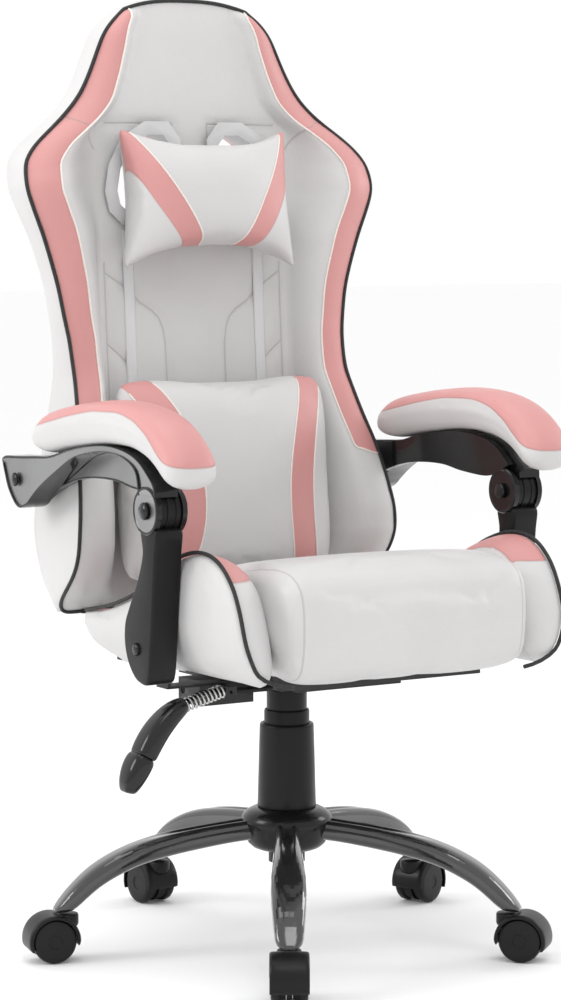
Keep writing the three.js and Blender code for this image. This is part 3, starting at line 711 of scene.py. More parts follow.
def padded_loft(name, outline, stations, spine, bulges, count=120, band=None):
    """Builds the sideways form as a closed mesh; band is a function of x, y, z in millimetres."""
    rows, foot = sideways_loft(outline, stations, spine, count)

    def cap(row, bulge):
        made = []
        for t in (0.12, 0.3, 0.5, 0.7, 0.86, 1.0):
            place = row.copy()
            place[:, 1:] = row[:, 1:] * (1 - t) + foot * t
            place[:, 0] = row[:, 0] + bulge * (1 - (1 - t) ** 2)
            made.append(place)
        return made

    first = cap(rows[0], bulges[0])[::-1]
    last = cap(rows[-1], bulges[1])
    grid = np.array([*first, *rows, *last])
    nv, nu = grid.shape[:2]
    vertices = grid.reshape(-1, 3)
    faces = [
        (v * nu + u, v * nu + (u + 1) % nu, (v + 1) * nu + (u + 1) % nu, (v + 1) * nu + u)
        for v in range(nv - 1)
        for u in range(nu)
    ]
    values = {}
    if band is not None:
        values["band"] = band(vertices[:, 0], vertices[:, 1], vertices[:, 2]) * MM
    places = [at(*p) for p in vertices]
    piece = skin(name, places, faces, values)
    outward(piece)
    return piece


def inflate(piece, voxel=0.005, cap=0.010, pressure=4.0, frames=20):
    """Puffs a soft piece up with a short cloth simulation and keeps the result in its mesh."""
    only(piece)
    mod = piece.modifiers.new("remesh", "REMESH")
    mod.mode, mod.voxel_size, mod.use_smooth_shade = "VOXEL", voxel, True
    apply_all(piece)
    start = np.empty(len(piece.data.vertices) * 3)
    piece.data.vertices.foreach_get("co", start)
    cloth = piece.modifiers.new("cloth", "CLOTH")
    s = cloth.settings
    s.use_pressure, s.uniform_pressure_force = True, pressure
    s.effector_weights.gravity = 0
    s.quality, s.mass, s.tension_stiffness, s.compression_stiffness, s.bending_stiffness = 6, 0.3, 30, 30, 0.8
    cloth.collision_settings.use_collision = False
    cloth.point_cache.frame_start, cloth.point_cache.frame_end = 1, frames
    scene = bpy.context.scene
    for step in range(1, frames + 1):
        scene.frame_set(step)
    apply_all(piece)
    scene.frame_set(1)
    end = np.empty_like(start)
    piece.data.vertices.foreach_get("co", end)
    move = (end - start).reshape(-1, 3)
    length = np.linalg.norm(move, axis=1)
    scale = np.minimum(1.0, cap / np.maximum(length, 1e-9))
    piece.data.vertices.foreach_set("co", (start.reshape(-1, 3) + move * scale[:, None]).ravel())
    piece.data.update()
    return rounded(piece, 1)


def surface_of(piece):
    """A lookup of a piece's surface for laying piping and seams on it."""
    data = piece.data
    return BVHTree.FromPolygons([v.co.copy() for v in data.vertices],
                                [tuple(p.vertices) for p in data.polygons])


def eased(path, times):
    """Rounds off a path's corners."""
    points = np.array([tuple(p) for p in path])
    for _ in range(times):
        points[1:-1] = (points[:-2] + 2 * points[1:-1] + points[2:]) / 4
    return [Vector(p) for p in points]


def marked(piece, name, measure):
    """Writes a number on each vertex from its place in millimetres from the lift's axis."""
    co = np.empty(len(piece.data.vertices) * 3)
    piece.data.vertices.foreach_get("co", co)
    co = co.reshape(-1, 3) / MM - (AXIS_X / MM, AXIS_Y / MM, -DROP)
    layer = piece.data.attributes.get(name) or piece.data.attributes.new(name, "FLOAT", "POINT")
    layer.data.foreach_set("value", (measure(*co.T) * MM).astype(np.float32))
    return piece


def laid(tree, places, direction, sink=0.0):
    """Drops places onto a surface along a direction."""
    out = []
    direction = Vector(direction)
    for place in places:
        hit = tree.ray_cast(Vector(place) - direction * 0.4, direction)
        if hit[0] is not None:
            out.append(hit[0] + direction * sink)
    return out


# ---------------------------------------------------------------- the back

HALF_WIDTH = Curve(
    [(447, 230), (461, 238), (499, 244), (544, 247), (565, 246), (595, 242), (628, 237), (660, 231),
     (693, 224), (731, 217), (763, 213), (801, 214), (836, 219), (871, 225), (910, 236), (946, 248),
     (981, 262), (1009, 270), (1034, 268), (1059, 251), (1080, 225), (1101, 198), (1129, 171), (1156, 155),
     (1184, 142), (1212, 129), (1232, 111), (1243, 97)]
)
PIPING_Y = Curve(
    [(447, 196), (461, 183), (480, 158), (499, 136), (520, 120), (544, 112), (565, 112), (595, 118),
     (628, 128), (660, 140), (693, 156), (731, 173), (763, 187), (801, 196), (836, 202), (871, 205),
     (910, 206), (985, 206), (1009, 208), (1034, 216), (1059, 223), (1080, 229), (1101, 238), (1129, 244),
     (1184, 250), (1232, 253), (1243, 257)]
)
CORE_Y = Curve([(447, 197), (500, 203), (600, 215), (750, 228), (850, 235), (1000, 243), (1100, 246),
                (1200, 251), (1243, 257)])
REAR_Y = Curve([(447, 214), (470, 236), (500, 251), (580, 265), (700, 269), (800, 270), (900, 272),
                (1000, 285), (1100, 305), (1200, 317), (1240, 308), (1243, 306)])
BAND_WIDTH = Curve(
    [(447, 34), (640, 36), (760, 36), (830, 37), (904, 42), (966, 46), (1015, 45), (1070, 45), (1100, 47),
     (1116, 46), (1141, 41), (1163, 38), (1200, 33), (1225, 26), (1236, 16), (1243, 6)]
)
BAND_RISE = Curve([(447, 1), (700, 2), (760, 3), (850, 8), (950, 13), (1050, 15), (1200, 13), (1236, 7),
                   (1243, 2)])
BAND_END = 652
# far enough from the band to stay white
OFF_BAND = -900.0
BACK_SEAMS = (
    ((109, 905), (96, 863), (84, 852), (66, 841), (56, 831), (50, 816), (47, 795), (46, 700), (46, 480)),
    ((138, 640), (138, 905)),
    ((138, 893), (111, 876)),
    ((138, 797), (110, 774)),
    ((28, 972), (28, 1092), (132, 1092)),
    ((199, 1100), (168, 1086), (150, 1058)),
)


def back_rows():
    """The back's cross-sections from the seat end to the top, each a closed ring of places in millimetres."""
    heights = np.concatenate([np.arange(447, 1220, 6.0), np.arange(1221, 1243.5, 3.2)])
    centre_n, ramp_n, band_n, side_n = 20, 10, 9, 9
    rings, bands, fronts = [], [], []
    for z in heights:
        w, wf, yc, yr = (float(c(z)) for c in (HALF_WIDTH, PIPING_Y, CORE_Y, REAR_Y))
        b = w - float(BAND_WIDTH(z))
        yb = wf - float(BAND_RISE(z))
        c = min(150.0, b - 22)
        head = float(smooth(930, 1010, z))
        crown = 14 * float(smooth(1110, 1243, z))
        half = [(c * t, yc - 2.0 * (1 - head) * t * t) for t in np.linspace(0, 1, centre_n + 1)]
        yc2 = half[-1][1]
        for t in np.linspace(0, 1, ramp_n + 1)[1:]:
            crease = 1 - (1 - t) ** 1.9
            soft = t * t * (3 - 2 * t)
            rise = crease * (1 - head) + soft * head
            half.append((c + (b - c) * t, yc2 + (yb - yc2) * rise))
        puff = 3.2 * min(1.0, (w - b) / 30)
        for t in np.linspace(0, 1, band_n + 1)[1:]:
            half.append((b + (w - b) * t, yb + (wf - yb) * t**1.4 - puff * math.sin(math.pi * t) ** 0.8))
        half = np.array(half)
        depth = max(yr - wf, 8.0)
        rear_edge = yr - min(16.0, depth * 0.35)
        side = [(w - 0.3, wf + 0.5)]
        for t in np.linspace(0, 1, side_n + 1)[1:-1]:
            side.append((w - 5 * t * t + 3.5 * math.sin(math.pi * t), wf + (rear_edge - wf) * t))
        side = np.array(side)
        turn = np.sin(np.linspace(0, 1, len(half)) * math.pi / 2)
        rear = np.array([((w - 5) * s, yr - (yr - rear_edge) * s**7) for s in turn])
        lift = lambda x: crown * (1 - np.abs(x / w) ** 2.6)
        front = np.array([*half[::-1], *(half[1:] * (-1, 1))])
        back = np.array([*(rear[::-1] * (-1, 1)), *rear[1:]])
        left_side = side[::-1]
        right_side = side * (-1, 1)
        loop = np.array([*front, *right_side, *back, *left_side])
        rings.append(np.column_stack([loop, z + lift(np.clip(loop[:, 0], -w, w))]))
        end = BAND_END - 9 * smooth(b, w, np.abs(front[:, 0]))
        d = np.minimum(np.abs(front[:, 0]) - b, (z - end))
        d = np.minimum(d, 40)
        bands.append(np.concatenate([d, np.full(len(loop) - len(front), OFF_BAND)]))
        fronts.append(np.concatenate([np.ones(len(front)), np.zeros(len(loop) - len(front))]))
    return np.array(rings), np.array(bands), np.array(fronts), len(front), side_n


def quilt(x, z, front):
    """How far the centre panel sinks at its sewn lines."""
    near = np.full(x.shape, 1e9)
    for chain in BACK_SEAMS[:5]:
        for (x0, z0), (x1, z1) in zip(chain, chain[1:]):
            dx, dz = x1 - x0, z1 - z0
            t = np.clip(((np.abs(x) - x0) * dx + (z - z0) * dz) / (dx * dx + dz * dz), 0, 1)
            near = np.minimum(near, np.hypot(np.abs(x) - x0 - t * dx, z - z0 - t * dz))
    return 2.6 * np.exp(-((near / 7.0) ** 2)) * front


def bridge_cap(ring, n_front, side_n, bulge, direction):
    """Fills the end of the back between its front and rear edges with a crowned field of places."""
    front = ring[:n_front]
    rear = ring[n_front + side_n : n_front + side_n + n_front][::-1]
    steps = np.linspace(0, 1, side_n + 2)[1:-1]
    inner = []
    for t in steps:
        line = front * (1 - t) + rear * t
        wide = np.abs(line[:, 0]) / max(np.abs(line[:, 0]).max(), 1)
        line[:, 2] += direction * bulge * math.sin(math.pi * t) * (1 - wide**6)
        inner.append(line[1:-1])
    return np.array(inner)


def make_back():
    rings, bands, fronts, n_front, side_n = back_rows()
    rings[:, :, 1] += quilt(rings[:, :, 0], rings[:, :, 2], fronts)
    nv, nu = rings.shape[:2]
    vertices = [*rings.reshape(-1, 3)]
    band, front = [*bands.ravel()], [*fronts.ravel()]
    faces = [
        (v * nu + u, v * nu + (u + 1) % nu, (v + 1) * nu + (u + 1) % nu, (v + 1) * nu + u)
        for v in range(nv - 1)
        for u in range(nu)
    ]
    for row, bulge, direction in ((0, 3.0, -1), (nv - 1, 5.0, 1)):
        inner = bridge_cap(rings[row], n_front, side_n, bulge, direction)
        base = len(vertices)
        for line in inner:
            vertices.extend(line)
            band.extend([OFF_BAND] * len(line))
            front.extend([0.0] * len(line))
        start = row * nu

        def index(i, j):
            if j == 0:
                return start + i
            if j == side_n + 1:
                return start + n_front + side_n + (n_front - 1 - i)
            if i == n_front - 1:
                return start + n_front + (j - 1)
            if i == 0:
                return start + nu - 1 - (j - 1)
            return base + (j - 1) * (n_front - 2) + (i - 1)

        for i in range(n_front - 1):
            for j in range(side_n + 1):
                faces.append((index(i, j), index(i + 1, j), index(i + 1, j + 1), index(i, j + 1)))
    piece = skin(
        "back_cover", [at(*p) for p in vertices], faces,
        {"band": np.array(band) * MM, "front": np.array(front)}
    )
    facing_out(piece)
    return piece, rings, n_front


HOLE = [(36, 978), (36, 1066), (47, 1080), (72, 1080), (100, 1063), (117, 1032), (122, 1002), (117, 982),
        (104, 971), (48, 969)]


def cut_holes(piece):
    """Opens the two harness holes right through the back."""
    for _, sign in SIDES:
        ring = resampled(HOLE, 60)
        vertices = [at(sign * x, y, z) for y in (150, 400) for x, z in ring]
        n = len(ring)
        faces = [(i, (i + 1) % n, n + (i + 1) % n, n + i) for i in range(n)] + [range(n), range(n, 2 * n)]
        cutter = skin("hole_cutter", vertices, faces)
        facing_out(cutter)
        mod = piece.modifiers.new("hole", "BOOLEAN")
        mod.operation, mod.object, mod.solver = "DIFFERENCE", cutter, "EXACT"
        apply_all(piece)
        bpy.data.objects.remove(cutter)
    return piece


class CHAIR_OT_back(bpy.types.Operator):
    """Upholsters the back: leather cover, pink bands, harness holes and piping"""

    bl_idname = "chair.back"
    bl_label = "Back"

    def execute(self, context):
        piece, rings, n_front = make_back()
        cut_holes(piece)
        painted(piece, back_leather())
        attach(piece, "back")
        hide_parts("backrest", "back_wing_left", "back_wing_right")

        thick = sizes().piping / 2
        edge = [at(p[0] + 0.4, p[1] - 0.8, p[2]) for p in rings[:, 0]]
        foot = [at(p[0], p[1] - 0.5, p[2] - 1.0) for p in rings[0, 1:20]][::-1]
        top = [at(p[0], p[1] - 0.6, p[2] + 0.8) for p in rings[-1, 1 : n_front - 1]]
        right = [at(p[0] - 0.4, p[1] - 0.8, p[2]) for p in rings[:, n_front - 1]][::-1]
        right_foot = [at(p[0], p[1] - 0.5, p[2] - 1.0) for p in rings[0, n_front - 20 : n_front - 1]][::-1]
        path = eased(foot + edge + top + right + right_foot, 4)
        black = tube("back_black_piping", path, thick, 12)
        painted(black, woven_piping("black"))
        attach(black, "back")
        cream_r = sizes().cord / 2
        first = int(np.searchsorted(rings[:, n_front // 2, 2], BAND_END))
        for side, sign in SIDES:
            column = 9 if sign > 0 else n_front - 10
            outer = range(column, -1, -1) if sign > 0 else range(column, n_front)
            line = [at(p[0], p[1] - 0.6, p[2]) for p in rings[first:, column]][::-1]
            tree = surface_of(piece)
            hem = []
            for i in outer:
                p = rings[first, i]
                reach = smooth(abs(rings[first, column][0]), abs(rings[first, 0][0]), abs(p[0]))
                low = BAND_END - 9 * float(reach)
                hem.append(at(p[0], 0, low))
            hem = laid(tree, hem, (0, 1, 0), -0.0004)
            cream = tube(f"back_cream_piping_{side}", line + hem[1:], cream_r, 8)
            painted(cream, woven_piping("cream"))
            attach(cream, "back")
        return {"FINISHED"}


class CHAIR_OT_harness(bpy.types.Operator):
    """Finishes the harness-hole trims and lays the two webbing straps"""

    bl_idname = "chair.harness"
    bl_label = "Harness trims and straps"

    def execute(self, context):
        for side, _ in SIDES:
            finish_node(f"harness_trim_{side}", trim_plastic(), 0.0012)
            low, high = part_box(f"strap_{side}")
            middle = (low.x + high.x) / 2
            heights = np.linspace(low.z, high.z, 60)
            vertices, faces = [], []
            across = np.linspace(-1, 1, 7)
            for z in heights:
                y = AXIS_Y + (float(CORE_Y(z / MM + DROP)) - 1.35) * MM
                for lift in (-1, 1):
                    for a in across:
                        thin = 0.00105 * (1 - 0.35 * abs(a) ** 6)
                        vertices.append((middle + a * (high.x - low.x) / 2, y + lift * thin, z))
            n = len(across)
            for r in range(len(heights) - 1):
                o = r * 2 * n
                for k in range(2 * n):
                    ring = list(range(n)) + list(range(2 * n - 1, n - 1, -1))
                    a, b = ring[k], ring[(k + 1) % (2 * n)]
                    faces.append((o + a, o + b, o + 2 * n + b, o + 2 * n + a))
            ring = list(range(n)) + list(range(2 * n - 1, n - 1, -1))
            last = (len(heights) - 1) * 2 * n
            faces += [ring, [last + k for k in ring]]
            piece = skin(f"webbing_strap_{side}", vertices, faces)
            outward(piece)
            painted(piece, webbing())
            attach(piece, "back")
            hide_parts(f"strap_{side}")
        return {"FINISHED"}


def finish_node(name, material, width=0.0, segments=2, angle=35):
    """Gives a CAD node its material and, if asked, softened edges."""
    node = NODES[name]
    for slot in node.material_slots:
        slot.material = material
    if width:
        weld = node.modifiers.new("weld", "WELD")
        weld.merge_threshold = 0.00001
        mod = node.modifiers.new("bevel", "BEVEL")
        mod.width, mod.segments, mod.limit_method = width, segments, "ANGLE"
        mod.angle_limit, mod.harden_normals, mod.use_clamp_overlap = math.radians(angle), True, True
        node.data.polygons.foreach_set("use_smooth", [True] * len(node.data.polygons))
    return node


# ---------------------------------------------------------------- pillows


def pillow(name, half, low, high, back_y, front_y, seam_y, ears, sag, arch, square, waist):
    """A closed pillow: an outline with drawn-out corners, crowned front and rear faces.

    half, low and high give the outline, and sag, arch and waist pull its sides in. square is the share of
    their reach that the corners keep, or 0 to leave them, and ears is how close to them that pull stays."""
    n, m = 56, 44
    mid, tall = (low + high) / 2, (high - low) / 2
    s = np.sin(np.linspace(-1, 1, n + 1) * math.pi / 2)
    t = np.sin(np.linspace(-1, 1, m + 1) * math.pi / 2)
    ss, tt = np.meshgrid(s, t)
    corner = (np.abs(ss) * np.abs(tt)) ** ears
    x = ss * (half - waist * (1 - tt**2))
    z = mid + tt * tall
    z -= np.where(tt > 0, sag * (1 - ss**2) * tt**2, 0)
    z += np.where(tt < 0, arch * (1 - ss**2) * tt**2, 0)
    if square:
        shrink = 1 - (1 - square) * corner
        x, z = x * shrink, mid + (z - mid) * shrink
    crown = ((1 - np.abs(ss) ** 2.6) * (1 - np.abs(tt) ** 2.6)) ** 0.5
    front = seam_y - (seam_y - front_y) * crown
    rear = seam_y + (back_y - seam_y) * np.minimum(1, crown * 1.5)
    vertices, marks = [], []
    for layer, mark in ((front, 1.0), (rear, 0.0)):
        for j in range(m + 1):
            for i in range(n + 1):
                vertices.append(at(x[j, i], layer[j, i], z[j, i]))
                marks.append(mark)
    width = n + 1
    size = width * (m + 1)
    faces = []
    for j in range(m):
        for i in range(n):
            a = j * width + i
            faces.append((a, a + 1, a + width + 1, a + width))
            faces.append((size + a, size + a + width, size + a + width + 1, size + a + 1))
    piece = skin(name, vertices, faces)
    outward(piece)
    return piece


def mark_front(piece, seam_y):
    """Tells the front of a pillow from its rear, for its stripes."""
    edge = AXIS_Y + seam_y * MM
    values = [1.0 if v.co.y < edge + 0.014 else 0.0 for v in piece.data.vertices]
    layer = piece.data.attributes.get("front") or piece.data.attributes.new("front", "FLOAT", "POINT")
    layer.data.foreach_set("value", np.array(values, np.float32))


def polynomial(pairs, degree, centre):
    """Factors, highest power first, of the curve of half-distance over height, in metres."""
    z, x = np.array(pairs, float).T
    return tuple(float(v) for v in np.polyfit(z - centre, x, degree))


def stripe_piping(name, piece, factors, centre, low, high, body):
    tree = surface_of(piece)
    for side, sign in SIDES:
        places = [
            (AXIS_X + sign * float(np.polyval(factors, z - centre)), 0, z - DROP * MM)
            for z in np.linspace(low, high, 70)
        ]
        path = laid(tree, places, (0, 1, 0), -0.0002)
        cord = tube(f"{name}_{side}", path, sizes().cord / 2 * 0.8, 8)
        painted(cord, woven_piping("cream"))
        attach(cord, body)


class CHAIR_OT_head_pillow(bpy.types.Operator):
    """Makes the head pillow with its pointed corners and two stripes"""

    bl_idname = "chair.head_pillow"
    bl_label = "Head pillow"

    def execute(self, context):
        piece = pillow("head_pillow", 132, 897, 1087, 236, 152, 203, 3.0, 25, 33, 0, 9)
        for p in (v.co for v in piece.data.vertices):
            z = p.z + DROP * MM
            p.y += (z - 0.992) * 0.11
            p.x += (p.x - AXIS_X) * 0.035 * max(0.0, (0.992 - z) / 0.095)
        inflate(piece, 0.005, 0.006, 3.0)
        mark_front(piece, 203)
        centre = 0.99
        inner = polynomial([(1.08, 0.118), (1.04, 0.0905), (1.0, 0.067), (0.96, 0.044), (0.93, 0.0265)], 2,
                           centre)
        outer = polynomial([(1.08, 0.138), (1.04, 0.123), (1.0, 0.107), (0.96, 0.081), (0.93, 0.058)], 2,
                           centre)
        painted(piece, striped_leather("head_pillow", centre, inner, outer))
        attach(piece, "head_pillow")
        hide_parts("head_cushion")
        stripe_piping("head_stripe_inner", piece, inner, centre, 0.925, 1.079, "head_pillow")
        return {"FINISHED"}


class CHAIR_OT_lumbar_pillow(bpy.types.Operator):
    """Makes the deep lumbar pillow with its two stripes"""

    bl_idname = "chair.lumbar_pillow"
    bl_label = "Lumbar pillow"

    def execute(self, context):
        piece = pillow("lumbar_pillow", 166, 480, 756, 204, 98, 160, 6.0, 2, 4, 0.93, 2)
        for v in piece.data.vertices:
            z = v.co.z / MM + DROP
            v.co.y += (float(CORE_Y(z)) - float(CORE_Y(620))) * MM * 0.9
        inflate(piece, 0.0055, 0.009, 3.5)
        mark_front(piece, 172)
        centre = 0.62
        inner = polynomial([(0.757, 0.118), (0.70, 0.088), (0.65, 0.0735), (0.60, 0.066), (0.56, 0.068),
                            (0.52, 0.0765)], 3, centre)
        outer = tuple([*inner[:-1], inner[-1] + 0.043])
        painted(piece, striped_leather("lumbar_pillow", centre, inner, outer))
        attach(piece, "lumbar_pillow")
        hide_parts("lumbar_cushion")
        stripe_piping("lumbar_stripe_inner", piece, inner, centre, 0.482, 0.752, "lumbar_pillow")
        stripe_piping("lumbar_stripe_outer", piece, outer, centre, 0.482, 0.735, "lumbar_pillow")
        return {"FINISHED"}


# ---------------------------------------------------------------- seat

SEAT_SIDE = [(-301, 436), (-303, 465), (-301, 500), (-293, 524), (-272, 538), (-235, 542), (-180, 539),
             (-100, 528), (0, 503), (70, 486), (106, 478), (117, 470), (121, 456), (121, 416), (113, 405),
             (60, 403), (-180, 403), (-262, 403), (-284, 406), (-296, 418)]
BOLSTER_TOP = [(-286, 414), (-287, 430), (-284, 455), (-276, 485), (-262, 515), (-246, 535), (-222, 552),
               (-190, 560), (-150, 556), (-99, 538), (-35, 501), (9, 483), (55, 470), (112, 459)]
BOLSTER_LOW = [(125, 450), (130, 432), (126, 414), (112, 404), (72, 391), (0, 392), (-90, 396.5),
               (-180, 397), (-262, 400), (-280, 405)]


def tucked(x, z):
    """How far out a bolster stands at a height: its lower edge rolls in under the seat."""
    t = np.clip((478 - z) / 82, 0, 1)
    return 184 + (x - 184) * (1 - 0.62 * t**2.2)


class CHAIR_OT_seat(bpy.types.Operator):
    """Upholsters the seat: centre cushion, two bolsters and their piping"""

    bl_idname = "chair.seat"
    bl_label = "Seat"

    def execute(self, context):
        spine = [(-240, 470), (-150, 470), (0, 450), (80, 438)]
        stations = [(-183, 30), (-182, 22), (-179, 14), (-174, 8), (-166, 3.5), (-155, 1), (-135, -0.5),
                    (-100, -2), (-50, -3), (0, -3.5)]
        stations += [(-x, shrink) for x, shrink in stations[-2::-1]]
        cushion = padded_loft("seat_pad", SEAT_SIDE, stations, spine, (-0.5, 0.5), 160)
        inflate(cushion, 0.006, 0.004, 3.0)
        painted(cushion, seat_leather())
        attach(cushion, "seat")
        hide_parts("seat_cushion")
        spine = [(-250, 460), (-190, 475), (-100, 455), (0, 437), (95, 426)]
        stations = [(184.5, 34), (189, 25), (196, 17), (206, 9.5), (217, 4), (228, 1), (236, 0), (240, 2),
                    (243.5, 7), (246, 16), (247, 28)]

        def band(x, y, z):
            # inside the piping, above the front seam and above the seam along the cushion
            top = np.interp(y, [-262, -190, -99, 9, 112], [500, 543, 518, 460, 440])
            front = z - 529 + np.maximum(0, y + 232) * 0.9
            return np.minimum(np.minimum(236.5 - x, z - top), np.minimum(front, x - 195))

        bolster = padded_loft("seat_bolster_pad_left", BOLSTER_TOP + BOLSTER_LOW, stations, spine,
                              (0.3, 0.8), 150)
        for v in bolster.data.vertices:
            x, z = (v.co.x - AXIS_X) / MM, v.co.z / MM + DROP
            v.co.x = AXIS_X + float(tucked(x, z)) * MM
        inflate(bolster, 0.005, 0.003, 3.0)
        marked(bolster, "band", band)
        painted(bolster, two_tone_leather("bolster"))
        twin = mirrored(bolster, "seat_bolster_pad_right")
        ring = resampled(BOLSTER_TOP, 90, closed=False)
        for side, piece, sign in (("left", bolster, 1), ("right", twin, -1)):
            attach(piece, "seat")
            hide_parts(f"seat_bolster_{side}")
            path = [at(sign * (float(tucked(238.5, z)) + 0.8), y - 0.5, z) for y, z in ring]
            turn = ((172, -289, 401.5), (184, -290, 402.5), (196, -289.5, 405.5))
            curl = [at(sign * x, y, z) for x, y, z in turn]
            cord = tube(f"seat_black_piping_{side}", eased(curl + path, 2), sizes().piping / 2, 12)
            painted(cord, woven_piping("black"))
            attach(cord, "seat")
        return {"FINISHED"}


# ---------------------------------------------------------------- arms

PAD_TOP = [(146, 668), (150, 690), (142, 703), (115, 718), (59, 729), (4, 736), (-50, 740), (-102, 738),
           (-147, 729), (-180, 714), (-206, 694), (-220, 676), (-224, 660), (-220, 646), (-206, 639)]
PAD_UNDER = [(-188, 644.5), (-168, 660), (-144, 673.5), (-109, 684), (-64, 687.5), (-10, 684.5), (64, 674),
             (118, 664)]
PAD_SEAM = Curve([(-225, 665), (-202, 673), (-178, 688), (-151, 707), (-117, 721), (-75, 727), (-28, 726),
                  (27, 719), (90, 707), (134, 698), (152, 694)])


class CHAIR_OT_arm_pads(bpy.types.Operator):
    """Makes the padded arm tops, pink above and white round the sides"""

    bl_idname = "chair.arm_pads"
    bl_label = "Arm pads"

    def execute(self, context):
        outline = PAD_TOP + PAD_UNDER
        spine = [(128, 690), (60, 702), (-20, 711), (-90, 712), (-150, 698), (-186, 675), (-198, 664)]
        stations = [(230.5, 24), (232, 18), (235, 12.5), (239.5, 7.5), (245, 4), (252, 1.6), (260, 0.3),
                    (268, 0), (276, 0.3), (284, 1.6), (291, 4), (296.5, 7.5), (301, 12.5), (304, 18),
                    (305.5, 24)]
        pad = padded_loft("arm_rest_pad_left", outline, stations, spine, (-0.8, 0.8), 170)
        inflate(pad, 0.004, 0.003, 3.0)
        marked(pad, "band", lambda x, y, z: z - PAD_SEAM(y) + 2.0 * np.clip((x - 268) / 38, -1, 1) ** 2 - 2.0)
        painted(pad, two_tone_leather("arm_pad"))
        twin = mirrored(pad, "arm_rest_pad_right")
        for side, piece in (("left", pad), ("right", twin)):
            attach(piece, f"arm_{side}")
            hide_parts(f"arm_pad_{side}")
        return {"FINISHED"}


ARCH_TOP = [(-160, 628), (-158, 641), (-143, 654), (-119, 670), (-85, 680), (-38, 684), (16, 680),
            (64, 672.5), (110, 662), (152, 659), (198, 656), (232, 654.5), (241, 651)]
RIB_UNDER = [(-118, 628), (-109, 658), (-74, 673), (-28, 676), (16, 671), (53, 662), (91, 644), (137, 620),
             (161, 604), (178, 592), (201, 589), (224, 609), (236, 632), (242, 648)]
WEB_TOP = [(-150, 645), (-119, 668), (-85, 678), (-38, 682), (16, 678), (64, 670.5), (110, 660), (152, 657),
           (198, 650)]
WEB_UNDER = [(-128, 634), (-100, 627), (-45, 630), (1, 636), (56, 635), (104, 628), (158, 611), (190, 596)]
LINK_SIDE = [(-121, 588), (-124, 556), (-110, 520), (-92, 490), (-80, 466), (-80, 437), (-92, 412),
             (-113, 396), (-139, 399), (-147, 450), (-152, 504), (-157, 556), (-158, 588)]
KNUCKLE = (-136, 610)


def plate(name, outline, x0, x1):
    """A flat plate with a (y, z) outline between two places across the chair."""
    vertices = [at(x, y, z) for x in (x0, x1) for y, z in outline]
    n = len(outline)
    faces = [(i, (i + 1) % n, n + (i + 1) % n, n + i) for i in range(n)] + [range(n), range(n, 2 * n)]
    return outward(skin(name, vertices, faces))


def channel(name, upper, lower, x0, x1, rim, depth, count=72):
    """A plate between two (y, z) lines, with its outer face sunk inside a raised rim.

    The sunk face takes the second material."""
    top, low = resampled(upper, count, closed=False), resampled(lower, count, closed=False)
    vertices = []
    for i, (u, v) in enumerate(zip(top, low)):
        span = float(np.linalg.norm(v - u))
        d = (v - u) / max(span, 1e-6)
        edge = min(rim, span * 0.32)
        soft = min(0.9, edge * 0.4)
        sunk = depth * min(1.0, min(i, count - 1 - i) / 2)
        for x, place in (
            (x0, u), (x1 - soft, u), (x1, u + d * soft), (x1, u + d * edge),
            (x1 - sunk, u + d * (edge + 0.15 * rim)),
            (x1 - sunk, v - d * (edge + 0.15 * rim)), (x1, v - d * edge), (x1, v - d * soft),
            (x1 - soft, v), (x0, v),
        ):
            vertices.append(at(x, *place))
    n = 10
    faces, picks = [], []
    for r in range(count - 1):
        for k in range(n):
            faces.append((r * n + k, r * n + (k + 1) % n, (r + 1) * n + (k + 1) % n, (r + 1) * n + k))
            picks.append(1 if k == 4 else 0)
    faces += [range(n), range((count - 1) * n, count * n)]
    piece = skin(name, vertices, faces)
    for face, pick in zip(piece.data.polygons, picks):
        face.material_index = pick
    facing_out(piece)
    return piece


def across(name, profile, y, z, sides=48):
    """A round piece about an axis across the chair: profile holds (x, radius) pairs in millimetres."""
    rings = [(tuple(at(x, y, z)), (1, r * MM, r * MM)) for x, r in profile]
    return loft(name, rings, sides, (0, math.pi / 2, 0))


